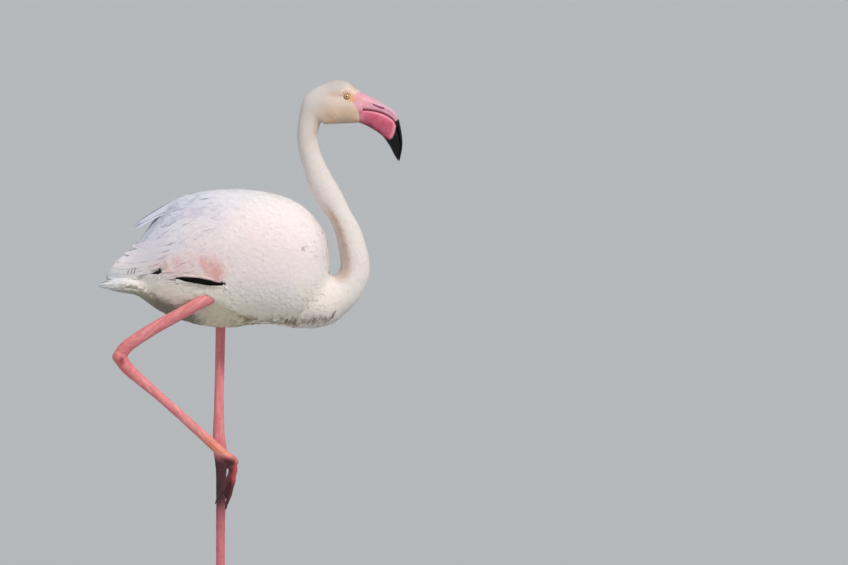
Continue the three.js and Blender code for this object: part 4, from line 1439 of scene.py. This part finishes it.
def make_lower_bill(material):
    rings, share, height = mandible_rings(MOUTH, GONYS, LOWER_HALF, arch=False)
    flat = rings.reshape(-1, 3)
    x, y, z = flat.T
    share, height = share.ravel(), height.ravel()
    # The lower half is a deep trough whose upper rim closes just inside the upper half's lip.
    rim = smoothstep(0.10, 0.03, height)
    y = y - np.sign(y) * 0.9 * rim * (abs(y) > 3)
    furrow = np.exp(-((height - 0.2) / 0.05) ** 2) * smoothstep(0.05, 0.15, share)
    furrow *= smoothstep(0.62, 0.5, share)
    y = y - np.sign(y) * 0.55 * furrow * (abs(y) > 3)
    ribs = np.sin(share * 150) * 0.07 * smoothstep(0.25, 0.4, height) * smoothstep(0.6, 0.5, share)
    y = y + np.sign(y) * ribs * (abs(y) > 3)
    flat = np.stack([x, y, z], axis=1)

    fine, broad = noise(flat, 2.2), noise(flat, 12, 2.4)
    tint = np.tile([0.53, 0.095, 0.155], (len(flat), 1))
    tint = over(tint, [0.66, 0.17, 0.25], 0.7 * broad)
    speckle = smoothstep(0.45, 0.8, noise(flat, 3.4, 8.8)) * smoothstep(0.2, 0.4, height)
    tint = over(tint, [0.38, 0.04, 0.08], 0.4 * speckle)
    # Painted shade darkens the lower edge, which faces down, with a ragged border.
    ragged = height + 0.16 * (noise(flat, 5, 1.7) - 0.5)
    tint = over(tint, [0.20, 0.018, 0.035], 0.85 * smoothstep(0.76, 0.92, ragged))
    pale = np.maximum(smoothstep(0.2, 0.06, height), smoothstep(0.055, 0.0, abs(share - 0.655)))
    tint = over(tint, [0.82, 0.34, 0.43], 0.7 * pale)
    tint = over(tint, FACE_PINK, 0.8 * smoothstep(0.2, 0.06, share) * smoothstep(1, 0.6, height))
    # Painted shadow in the corner at the base of the lower half.
    base_corner_shadow = smoothstep(0.11, 0.03, share) * smoothstep(0.55, 0.9, height)
    tint = over(tint, [0.14, 0.02, 0.03], 0.75 * base_corner_shadow)
    # The pink ends in a rounded lobe, and the black reaches back under it.
    border = np.interp(height, [0, 0.3, 0.6, 0.8, 0.9, 1], [0.675, 0.69, 0.675, 0.63, 0.585, 0.53])
    black = smoothstep(-0.010, 0.010, share - border)
    tint = over(tint, BLACK_HORN, black)
    tint *= (0.94 + 0.12 * fine)[:, None]
    return finish_bill("bill_lower_horn", flat.reshape(rings.shape), tint, material, "bill_lower")


def finish_bill(name, rings, tint, material, node):
    obj = new_object(name, *tube(rings))
    add_tint(obj.data, "tint", tint)
    shade_smooth(obj)
    piece(obj, material)
    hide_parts(node)
    return obj


horn = bill_material("horn", 0.42)
make_upper_bill(horn)
make_lower_bill(horn)

# ---- eyes ----------------------------------------------------------------------------------------

PUPIL = 1.55
IRIS = 3.3


def make_eye(side):
    """A ball with a bulging cornea, in rings round the line of sight."""
    angle = np.concatenate([np.linspace(0.01, 0.85, 44), np.linspace(0.9, np.pi - 0.02, 24)])
    radius = EYE_RADIUS * np.sin(angle)
    out = EYE_RADIUS * np.cos(angle) + 0.35 * smoothstep(5.2, 0.0, radius) * (angle < 1)
    around = 48
    turn = 2 * np.pi * np.arange(around) / around
    rings = np.empty((len(angle), around, 3))
    rings[..., 0] = EYE[0] + radius[:, None] * np.cos(turn)
    rings[..., 1] = side * (EYE_CENTRE + out[:, None])
    rings[..., 2] = EYE[1] + radius[:, None] * np.sin(turn)
    flat = rings.reshape(-1, 3)
    gap = eye_gap(flat)
    spokes = noise(np.stack([np.repeat(angle, around) * 3, 9 * np.tile(np.cos(turn), len(angle)),
                             9 * np.tile(np.sin(turn), len(angle))], axis=1), 1.0)
    front = side * flat[:, 1] > EYE_CENTRE
    tint = np.tile([0.72, 0.40, 0.08], (len(flat), 1))
    tint = over(tint, [0.84, 0.66, 0.28], spokes * smoothstep(PUPIL, IRIS, gap))
    tint = over(tint, [0.05, 0.02, 0.01], smoothstep(IRIS, IRIS + 0.5, gap))
    tint = over(tint, [0.004, 0.004, 0.004], smoothstep(PUPIL + 0.15, PUPIL - 0.1, gap) * front)
    name = "right" if side < 0 else "left"
    obj = new_object(f"eyeball_{name}", *tube(rings))
    add_tint(obj.data, "tint", tint)
    shade_smooth(obj)
    material, tree, shader = node_material(f"eye_{name}")
    tinted(tree, shader)
    set_inputs(shader, {"Roughness": 0.06, "Coat Weight": 1.0, "Coat Roughness": 0.02})
    piece(obj, material)
    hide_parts(f"eye_{name}")


make_eye(-1)
make_eye(1)

# ---- claws ---------------------------------------------------------------------------------------


def claw_material():
    material, tree, shader = node_material("claw")
    grain, _ = texture_in_place(tree, "ShaderNodeTexNoise", 600.0)
    ramp = tree.nodes.new("ShaderNodeValToRGB")
    ramp.color_ramp.elements[0].color = (0.016, 0.009, 0.008, 1)
    ramp.color_ramp.elements[1].color = (0.055, 0.035, 0.03, 1)
    tree.links.new(grain.outputs["Fac"], ramp.inputs["Fac"])
    tree.links.new(ramp.outputs["Color"], shader.inputs["Base Color"])
    set_inputs(shader, {"Roughness": 0.4})
    return material


def make_claws(material):
    for leg in ("left", "right"):
        for name in (*FRONT_TOES, "hind"):
            line = toe_line(leg, name)
            tip, before = line[-1, :3], line[-2, :3]
            ahead = unit(tip - before)
            share = np.linspace(-0.35, 1, 26)
            radius = line[-1, 3] * np.interp(share, [-0.35, 0.1, 0.5, 0.85, 1],
                                             [0.55, 0.85, 0.62, 0.3, 0.06])
            points = tip + share[:, None] * ahead * CLAW_LENGTH
            bow = 1.0 * np.sin(np.clip(share, 0, 1) * np.pi * 0.8)
            if leg == "left":
                points[:, 2] = np.maximum(points[:, 2] + 0.5 * bow, radius * 0.8 + 0.05)
            else:
                points[:, 0] += bow
            _, across, up = line_frames(points)
            rings = ring_points(points, across, up, radius * 0.95, radius, radius * 0.8, 20)
            obj = new_object(f"nail_{leg}_{name}", *tube(rings))
            shade_smooth(obj)
            piece(obj, material)
            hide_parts(f"claw_{leg}_{name}")


make_claws(claw_material())

# ---- plumage -------------------------------------------------------------------------------------

rng = np.random.default_rng(11)


def plumage_material():
    """Soft feathers: colour from the tint, a shaft, and fine barbs slanting out from it."""
    material, tree, shader = node_material("feathers")

    def maths(operation, a, b=None):
        node = tree.nodes.new("ShaderNodeMath")
        node.operation = operation
        for socket, value in zip(node.inputs, (a, b)):
            if isinstance(value, (int, float)):
                socket.default_value = value
            elif value is not None:
                tree.links.new(value, socket)
        return node.outputs["Value"]

    tinted(tree, shader)
    vane = tree.nodes.new("ShaderNodeAttribute")
    vane.attribute_name = "vane"
    parts = tree.nodes.new("ShaderNodeSeparateXYZ")
    tree.links.new(vane.outputs["Vector"], parts.inputs["Vector"])
    off_shaft = maths("ABSOLUTE", parts.outputs["X"])
    barb_line = maths("SUBTRACT", parts.outputs["Y"], maths("MULTIPLY", off_shaft, 1.5))
    barbs = maths("SINE", maths("MULTIPLY", barb_line, 2 * math.pi / 0.75))
    shaft = maths("LESS_THAN", off_shaft, 0.22)
    height = maths("ADD", maths("MULTIPLY", barbs, 0.5), shaft)
    bumped(tree, shader, height, 0.5, 0.00012)
    set_inputs(shader, {"Roughness": 0.8, "Specular IOR Level": 0.2, "Sheen Weight": 0.12,
                        "Sheen Roughness": 0.5})
    return material


feathers_material = plumage_material()
LEG_ROOM = 2.0  # that feathers keep from a leg
LEG_TOPS = [(row[:3], row[3]) for row in smooth_rows(SHANK["right"], np.linspace(0.03, 0.6, 24))]
LEG_TOPS += [(row[:3], row[3]) for row in smooth_rows(SHANK["left"], np.linspace(0.0, 0.6, 16))]


def blocked(lines, half_widths):
    """Where feathers must not lie: across a slit, over the bare face and eye, or on a leg. lines is
    (feathers, rows, 3); the answer is for each row."""
    count, rows = lines.shape[:2]
    points = lines.reshape(-1, 3)
    stop = (eye_gap(points) < 7.4) & (points[:, 2] > 880) & (abs(points[:, 1]) > 12)
    stop |= bare_face(points) > 0.5
    for centre, radius in LEG_TOPS:
        stop |= np.linalg.norm(points - centre, axis=1) < radius + LEG_ROOM
    wide = np.repeat(half_widths, rows)
    for slit in SLITS:
        for share in (-0.8, 0.0, 0.8):
            moved = points + np.stack([0 * wide, 0 * wide, wide * share], axis=1)
            stop |= in_slit(moved, slit, margin=0.6) > 0.15
    return stop.reshape(count, rows)


def lay_feathers(name, roots, lengths, half_widths, layers, lifts, shape, place, turn, rows=7,
                 columns=5, camber=0.03, recolour=None, free_from=2.0):
    """Feathers over the form from their roots. Those that would lie on bare parts are cut short."""
    shares = shares_of(shape, rows)
    _, normals = on_form(roots)
    lines = traced(roots, normals, lengths, shares, turn, free_from)
    stop = blocked(lines[0], half_widths)
    first = np.where(stop.any(axis=1), stop.argmax(axis=1), rows)
    reach = shares[np.minimum(first, rows - 1)] - 0.1
    lengths = np.where(first < rows, lengths * reach, lengths)
    keep = first >= 2
    roots, normals, lengths, half_widths, layers, lifts, turn = (
        a[keep] for a in (roots, normals, lengths, half_widths, layers, lifts, turn))
    lines = traced(roots, normals, lengths, shares, turn, free_from)
    heights = rising(np.maximum(coat_depth(roots), layers), layers, lifts, shares)
    return feather_mesh(name, lines, half_widths, shape, heights, place(roots), columns, camber,
                        recolour, curl=form_curl(lines, half_widths, profile_of(shape, shares)))


def form_curl(lines, half_widths, profile):
    """How the vanes slope and bend at their edges to lie on the form, probed at the middle row."""
    centres, ups, ways = lines
    mid = centres.shape[1] // 2
    up = ups[:, mid]
    aside = np.cross(up, ways[:, mid])
    edges = []
    for side in (-1, 1):
        edge = centres[:, mid] + aside * (side * half_widths * profile[mid])[:, None]
        found, _ = on_form(edge)
        edges.append(np.clip(((found - edge) * up).sum(axis=1), -1.8, 0.0))
    size = profile / profile[mid]
    slope, bend = (edges[1] - edges[0]) / 2, (edges[1] + edges[0]) / 2
    return slope[:, None] * size, bend[:, None] * size**2


def feather_mesh(name, lines, half_widths, shape, heights, place, columns=5, camber=0.03,
                 recolour=None, shade=0.05, curl=(0.0, 0.0)):
    """A piece of feathers whose centre lines are known, coloured by where they lie."""
    centres, ups, ways = lines
    count, rows = centres.shape[:2]
    shares = shares_of(shape, rows)
    tints = colour_at(centres.reshape(-1, 3)).reshape(count, rows, 3)
    if recolour is not None:
        tints = recolour(tints, centres, shares)
    each = 1 + shade * (rng.random(count) - 0.6)
    tints = tints * each[:, None, None] * np.interp(shares, [0, 1], [0.93, 1.0])[None, :, None]
    ragged = profile_of(shape, shares) * rng.uniform(0.93, 1.07, (count, rows))
    return feather_piece(name, centres, ups, ways, half_widths, ragged, heights, tints, place,
                         columns, camber, curl)


on_head_form = np.arange(len(form_t)) >= len(outer_t)
NECK_COAT_END = 15.2  # stations of the spine
HEAD_COAT_END = 20.9
# Feathers in one piece of each kind, which keeps it under 200,000 triangles.
PIECE_FEATHERS = {"body": 2950, "neck": 4400, "barbs": 6000, "head": 7000}


def region(kind):
    """Triangles of the form that belong to the trunk, the neck or the head."""
    centre = form_v[form_t].mean(axis=1)
    station, _, _, _ = on_spine(centre)
    share = neck_share(centre)
    if kind == "trunk":
        return ~on_head_form & (share < 0.85) & (centre[:, 0] > -196)
    if kind == "neck":
        return (share > 0.4) & (~on_head_form | (station < NECK_COAT_END))
    on_head = on_head_form & (station >= NECK_COAT_END) & (station < HEAD_COAT_END)
    return on_head & (bare_face(centre) < 0.5)


def contour_length(p):
    """Length of the body feathers from the breast back."""
    x, _, z = p.T
    length = np.interp(x, [-200, -150, -110, -40, 40, 110, 150, 195],
                       [20, 30, 38, 36, 31, 26, 21, 16])
    covert = blob(x, z, (-40, 603), (85, 20), 0.5)
    return length * (1 + 0.35 * covert)


def spread(roots, by):
    """Splits roots, in order along x, into parts of at most by feathers each. Splits
    roots into parts that stay below the triangle limit of a piece.
    """
    order = np.argsort(roots[:, 0], kind="stable")
    return np.array_split(order, int(np.ceil(len(roots) / by)))


def body_coat():
    roots = scatter(form_v, form_t, region("trunk"), 4.2, rng)
    print("body feathers", len(roots))
    for number, part in enumerate(spread(roots, PIECE_FEATHERS["body"])):
        r = roots[part]
        n = len(r)
        length = contour_length(r) * rng.uniform(0.88, 1.12, n)
        least = np.interp(r[:, 0], [-190, -145, 100, 160], [3.2, 5.4, 5.4, 4.3])
        broad = np.interp(r[:, 0], [-190, -145], [0.16, 0.25])
        width = np.clip(length * broad, least, 8.5) * rng.uniform(0.9, 1.1, n)
        front = smoothstep(105, 150, r[:, 0]) * smoothstep(560, 600, r[:, 2])
        lift = (0.08 + 0.4 * rng.random(n) ** 4) * (1 - 0.75 * front)
        shag = smoothstep(532, 512, r[:, 2])
        lift += shag * 2.4 * rng.random(n) ** 1.5
        turn = rng.normal(0, 0.09, n)
        layer = length * (0.055 - 0.025 * front)
        obj = lay_feathers(f"coat_body_{number + 1}", r, length, width, layer, lift, CONTOUR,
                           body_place, turn=turn)
        piece(obj, feathers_material)


def neck_coat():
    roots = scatter(form_v, form_t, region("neck"), 2.6, rng)
    print("neck feathers", len(roots))
    for number, part in enumerate(spread(roots, PIECE_FEATHERS["neck"])):
        r = roots[part]
        n = len(r)
        station, _, _, _ = on_spine(r)
        length = np.interp(station, [2.5, 5, 8, 12, 15], [20, 15, 12, 10, 8.5])
        length *= rng.uniform(0.88, 1.12, n)
        obj = lay_feathers(f"coat_neck_{number + 1}", r, length, length * 0.27,
                           length * 0.06, 0.03 + 0.2 * rng.random(n) ** 4, CONTOUR,
                           lambda p: spine_place(p, 2, 15.5), rows=6,
                           turn=rng.normal(0, 0.08, n), columns=4)
        piece(obj, feathers_material)


def soft_layer():
    """Fine separate barbs that lie over the body feathers and blur their edges."""
    roots = scatter(form_v, form_t, region("trunk"), 4.9, rng)
    print("barbs", len(roots))
    for number, part in enumerate(spread(roots, PIECE_FEATHERS["barbs"])):
        r = roots[part]
        n = len(r)
        length = contour_length(r) * rng.uniform(0.45, 0.7, n)
        obj = lay_feathers(f"coat_barbs_{number + 1}", r, length, rng.uniform(0.55, 1.0, n),
                           np.full(n, 0.35), 0.25 + 0.45 * rng.random(n) ** 2, LANCE, body_place,
                           rows=6, turn=rng.normal(0, 0.14, n), columns=3, camber=0.1)
        piece(obj, feathers_material)


def head_coat():
    roots = scatter(form_v, form_t, region("head"), 1.6, rng)
    print("head feathers", len(roots))
    n = len(roots)
    x = roots[:, 0]
    length = np.interp(x, [160, 200, 240], [7.5, 5.6, 3.8]) * rng.uniform(0.88, 1.12, n)
    for number, part in enumerate(spread(roots, PIECE_FEATHERS["head"])):
        r = roots[part]
        obj = lay_feathers(f"coat_head_{number + 1}", r, length[part], length[part] * 0.31,
                           length[part] * 0.05, 0.02 + 0.10 * rng.random(len(r)) ** 3, TUFT,
                           lambda p: spine_place(p, 15, 21), rows=4,
                           turn=rng.normal(0, 0.1, len(r)), columns=4)
        piece(obj, feathers_material)


def long_plumes():
    """Scapulars and tertials: long lance-shaped feathers that droop over the rump and wing tip."""
    centre = form_v[form_t].mean(axis=1)
    x, y, z = centre.T
    keep = region("trunk") & (x > -100) & (x < 55) & (z > 642) & (abs(y) > 4)
    roots = scatter(form_v, form_t, keep, 13, rng)
    n = len(roots)
    print("plumes", n)
    length = np.interp(roots[:, 0], [-100, -40, 55], [72, 98, 84]) * rng.uniform(0.85, 1.15, n)
    obj = lay_feathers("plumes_back", roots, length, rng.uniform(5.4, 7.4, n), length * 0.026,
                       0.4 + 1.2 * rng.random(n) ** 2, LANCE, body_place, rows=12,
                       turn=rng.normal(0.03, 0.07, n), camber=0.07, free_from=0.86,
                       recolour=plume_blue_shade)
    piece(obj, feathers_material)


def plume_blue_shade(tints, centres, _shares):
    """Plumes go cooler and a little darker towards the rear, by a different amount from one to the next:
    painted blue shade.
    """
    count = len(tints)
    cool = np.array([0.50, 0.53, 0.66])
    amount = 0.6 * rng.random(count)[:, None, None] ** 2 * smoothstep(10, -70, centres[..., :1])
    amount = amount * smoothstep(630, 675, centres[..., 2:3])
    return mix(tints, cool, amount)


def straight_lines(starts, ends, rows, shape, bow, ups):
    """Centre lines from start to end that bow out along up in the middle."""
    shares = shares_of(shape, rows)
    starts, ends, ups = (np.asarray(a, float) for a in (starts, ends, ups))
    arc = 4 * shares * (1 - shares)
    centres = mix(starts[:, None], ends[:, None], shares[None, :, None])
    centres = centres + ups[:, None] * (bow[:, None] * arc)[..., None]
    ways = unit(np.gradient(centres, axis=1))
    normal = ups[:, None] - ways * (ways * ups[:, None]).sum(axis=2, keepdims=True)
    return centres, unit(normal), ways


def free_plume():
    """The plumes that stand clear of the back behind each wing."""
    tips = [(-157, 675), (-150, 681), (-141, 683), (-131, 692), (-120, 697), (-146, 674)]
    roots = [(-44, 733), (-38, 736), (-48, 730), (-34, 737), (-30, 738), (-58, 722)]
    starts, ends, ups = [], [], []
    for side in (-1, 1):
        for i, ((tx, tz), (rx, rz)) in enumerate(zip(tips, roots)):
            out = 13.5 + 3.0 * (i % 3) - 2
            starts.append((rx, side * (out + 6), rz))
            ends.append((tx, side * out, tz))
            ups.append((-0.35, side * 0.55, 0.75))
    n = len(starts)
    ups = unit(np.array(ups))
    lines = straight_lines(starts, ends, 14, LANCE, np.full(n, 5.0), ups)
    heights = np.tile(-1.2 * (1 - shares_of(LANCE, 14)) ** 3, (n, 1))
    heights += (0.5 * (np.arange(n) % 6))[:, None]
    obj = feather_mesh("plumes_free", lines, rng.uniform(6.8, 8.2, n), LANCE, heights,
                       body_place(np.array(starts)), camber=0.08, recolour=plume_blue_shade)
    piece(obj, feathers_material)


def tail_feathers():
    """Twelve tail feathers in a shallow fan."""
    starts, ends, ups = [], [], []
    for i in range(12):
        place = (i - 5.5) / 5.5
        side = math.copysign(1, place)
        starts.append((-118, 15 * place, 582 - 2.5 * abs(place)))
        ends.append((-213 + 13 * place**2, 25 * place, 578.5 - 3.0 * abs(place)))
        ups.append(unit(np.array([0.03, 0.28 * place + 0.05 * side, 1.0])))
    n = len(starts)
    lines = straight_lines(starts, ends, 12, ROUND, np.full(n, 2.0), np.array(ups))
    order = abs(np.arange(n) - 5.5)
    heights = np.tile(-0.55 * order[:, None], (1, 12))
    obj = feather_mesh("tail_feathers", lines, np.full(n, 7.6), ROUND, heights,
                       body_place(np.array(starts)), camber=0.06)
    piece(obj, feathers_material)


def black_tint(tints, _centres, _shares):
    edge = rng.uniform(0.6, 1.4, len(tints))[:, None, None]
    return np.tile([0.014, 0.012, 0.012], (*tints.shape[:2], 1)) * edge


def side_lines(xs, zs, side, reach=14.0, tree=form_tree):
    """Centre lines laid on the form as seen from one side: xs and zs are (feathers, rows). They
    face as the form does at a reach above and below them, clear of any gap they lie in."""
    found = from_the_side(xs.ravel(), side, zs.ravel(), tree).reshape(*xs.shape, 3)
    ways = unit(np.gradient(found, axis=1))
    ups = np.zeros(found.shape)
    for shift in (-reach, reach):
        beside = found.reshape(-1, 3) + np.array([0.0, 0.0, shift])
        ups += on_form(beside)[1].reshape(found.shape)
    return found, unit(ups - ways * (ups * ways).sum(axis=2, keepdims=True)), ways


def both_sides(make):
    """Centre lines, made for each side, as one set."""
    made = [make(-1), make(1)]
    return tuple(np.concatenate([a, b]) for a, b in zip(*made))


def flight_feathers():
    """The black flight feathers that show in the gaps of the folded wing."""
    rows = 12
    shares = shares_of(ROUND, rows)
    for number, slit in enumerate(SLITS):
        x = mix(slit["x"][-1] - 1.0, slit["x"][0] + 1.0, shares)
        top, bottom = (np.interp(x, slit["x"], slit[edge]) for edge in ("top", "bottom"))
        levels = np.linspace(-0.85, 0.85, 5)[:, None]
        z = (top + bottom) / 2 + levels * (top - bottom) / 2
        lines = both_sides(lambda side: side_lines(np.broadcast_to(x, z.shape), z, side))
        n = len(lines[0])
        heights = np.full((n, rows), 0.5) + (np.arange(n) % 5)[:, None] * 0.3
        obj = feather_mesh(f"flight_feathers_{number + 1}", lines, np.full(n, 2.4), ROUND, heights,
                           body_place(lines[0][:, 0]), camber=0.12, recolour=black_tint)
        piece(obj, feathers_material)


def slit_edges():
    """Small feathers that lie along the edges of the gaps and make them crisp."""
    rows = 7
    shares = shares_of(CONTOUR, rows)
    for number, slit in enumerate(SLITS):
        low, high = slit["x"][0], slit["x"][-1]
        xs, zs, widths = [], [], []
        for edge, way in (("top", 1), ("bottom", -1)):
            for offset, half in ((1.7, 2.0), (4.2, 3.0)):
                count = int((high - low) / 3.4)
                for start in np.linspace(high - 7, low + 13, count) + rng.uniform(-1.2, 1.2, count):
                    x = start - shares * rng.uniform(8, 12)
                    away = offset + rng.uniform(-0.3, 0.3)
                    xs.append(x)
                    zs.append(np.interp(x, slit["x"], slit[edge]) + way * away)
                    widths.append(half)
        xs, zs = np.array(xs), np.array(zs)
        lines = both_sides(lambda side: side_lines(xs, zs, side, tree=plain_tree))
        n = len(lines[0])
        lift = 0.05 + 0.2 * rng.random(n)
        heights = rising(np.full(n, 2.6), np.full(n, 0.45), lift, shares)
        obj = feather_mesh(f"slit_edges_{number + 1}", lines, np.tile(widths, 2), CONTOUR, heights,
                           body_place(lines[0][:, 0]), recolour=beside(slit))
        piece(obj, feathers_material)


def beside(slit):
    """A recolouring that gives feathers by a gap the light colour of the plumage around it."""
    middle = (np.array(slit["top"]) + np.array(slit["bottom"])) / 2

    def recolour(tints, centres, _shares):
        moved = centres.copy()
        line = np.interp(centres[..., 0], slit["x"], middle)
        moved[..., 2] += np.where(centres[..., 2] > line, 5.0, -5.0)
        return colour_at(moved.reshape(-1, 3)).reshape(tints.shape)

    return recolour


def barb_gaps():
    """Thin dark gaps between the tips of the long wing feathers."""
    rows = 6
    shares = shares_of(LANCE, rows)
    strokes = [(-144.4, 610.7, -149.6, 597.5), (-150.5, 609, -154, 598), (-156.6, 605.5, -160.1, 598.5)]
    xs = np.array([mix(a, c, shares) for a, _, c, _ in strokes])
    zs = np.array([mix(b, d, shares) for _, b, _, d in strokes])
    lines = both_sides(lambda side: side_lines(xs, zs, side))
    n = len(lines[0])
    obj = feather_mesh("barb_gaps", lines, np.full(n, 0.6), LANCE, np.full((n, rows), 2.5),
                       body_place(lines[0][:, 0]), recolour=grey_tint)
    piece(obj, feathers_material)


def grey_tint(tints, _centres, _shares):
    return mix(tints, np.array([0.08, 0.075, 0.08]), 0.85)


def shag():
    """Loose pointed strands along the lower breast and belly, where the coat hangs damp."""
    centre = form_v[form_t].mean(axis=1)
    normal = form_n[form_t].mean(axis=1)
    station, _, _, _ = on_spine(centre)
    x, _, z = centre.T
    keep = ~on_head_form & (z < 541) & (x > 15) & (x < 208) & (normal[:, 2] < 0.1) & (station < 5)
    roots = scatter(form_v, form_t, keep, 4.6, rng)
    n = len(roots)
    print("shag", n)
    x, _, z = roots.T
    low = smoothstep(541, 518, z)
    front = smoothstep(90, 135, x)
    length = mix(13.0, 9.5, front) * rng.uniform(0.8, 1.25, n)
    obj = lay_feathers("shag", roots, length, rng.uniform(0.9, 1.3, n), length * 0.05,
                       (0.3 + 2.4 * low * mix(0.4, 1.0, front)) * rng.random(n) ** 1.2, LANCE,
                       body_place, rows=8, turn=rng.normal(0.05, 0.17, n), camber=0.12,
                       recolour=damp_and_shade_tint)
    piece(obj, feathers_material)


def damp_and_shade_tint(tints, centres, shares):
    """Most strands are cream, and about a third darken brown along the lowest edge: the wet of the belly
    and painted shade in the gaps between strands.
    """
    x, z = centres[:, :1, 0:1], centres[:, :1, 2:3]
    wet_and_shade = smoothstep(541, 522, z) * mix(0.35, 1.0, smoothstep(95, 130, x))
    dark = (rng.random(len(tints)) < 0.36)[:, None, None]
    root = np.interp(shares, [0, 0.6, 1], [1.0, 0.85, 0.6])[None, :, None]
    pale = tints * rng.uniform(0.86, 1.08, len(tints))[:, None, None]
    return mix(pale, np.array([0.30, 0.215, 0.135]), wet_and_shade * dark * root * 0.85)


def shaded_wet_strands():
    """Dark strands that part the damp coat along the lower edge of the breast: painted shade in the gaps
    between strands, in the brown of the wet belly.
    """
    rows = 7
    shares = shares_of(LANCE, rows)
    x = np.concatenate([np.linspace(112, 200, 17), np.linspace(122, 194, 11)])
    x = x + rng.uniform(-3.5, 3.5, len(x))
    low = np.interp(x, [112, 150, 185, 203], [508.5, 507, 512, 524]) + rng.uniform(0, 6, len(x))
    high = low + rng.uniform(6, 17, len(x))
    lean = (np.interp(x, [110, 200], [0.5, 0.95]) * (high - low))[:, None]
    xs = x[:, None] + lean * (0.5 - shares) + 1.2 * np.sin(np.pi * shares)
    zs = mix(high[:, None], low[:, None], shares[None, :])
    lines = both_sides(lambda side: side_lines(xs, zs, side))
    n = len(lines[0])
    heights = np.tile(-1.0 + 3.6 * smoothstep(0, 0.35, shares), (n, 1))
    obj = feather_mesh("shaded_wet_strands", lines, rng.uniform(0.8, 1.4, n), LANCE, heights,
                       body_place(lines[0][:, 0]), camber=0.12, recolour=brown_tint)
    piece(obj, feathers_material)


def brown_tint(tints, _centres, _shares):
    amount = rng.uniform(0.35, 0.95, len(tints))[:, None, None]
    return mix(tints, np.array([0.17, 0.11, 0.065]), amount)


def wing_tip():
    """The long feathers of the folded wing's tip, one over the next."""
    rows = 12
    shares = shares_of(ROUND, rows)
    roots = [(-62, 668), (-70, 655), (-76, 643), (-82, 632), (-88, 622), (-94, 614), (-98, 607)]
    tips = [(-152, 645), (-166, 632), (-178, 620), (-187, 610.5), (-194, 602.5), (-198, 596.5),
            (-196, 592.5)]
    xs = np.array([mix(a[0], b[0], shares) for a, b in zip(roots, tips)])
    zs = np.array([mix(a[1], b[1], shares) - 3.0 * np.sin(np.pi * shares)
                   for a, b in zip(roots, tips)])
    lines = both_sides(lambda side: side_lines(xs, zs, side, 5.0))
    n = len(lines[0])
    heights = np.tile(2.0 - 0.16 * (np.arange(n) % 7)[:, None], (1, rows))
    heights = heights - 3.5 * (1 - smoothstep(0, 0.3, shares))[None, :]
    obj = feather_mesh("wing_tip", lines, np.full(n, 7.2), ROUND, heights,
                       body_place(lines[0][:, 0]), camber=0.05, shade=0.03)
    piece(obj, feathers_material)


body_coat()
soft_layer()
neck_coat()
head_coat()
long_plumes()
free_plume()
wing_tip()
tail_feathers()
flight_feathers()
slit_edges()
barb_gaps()
shag()
shaded_wet_strands()
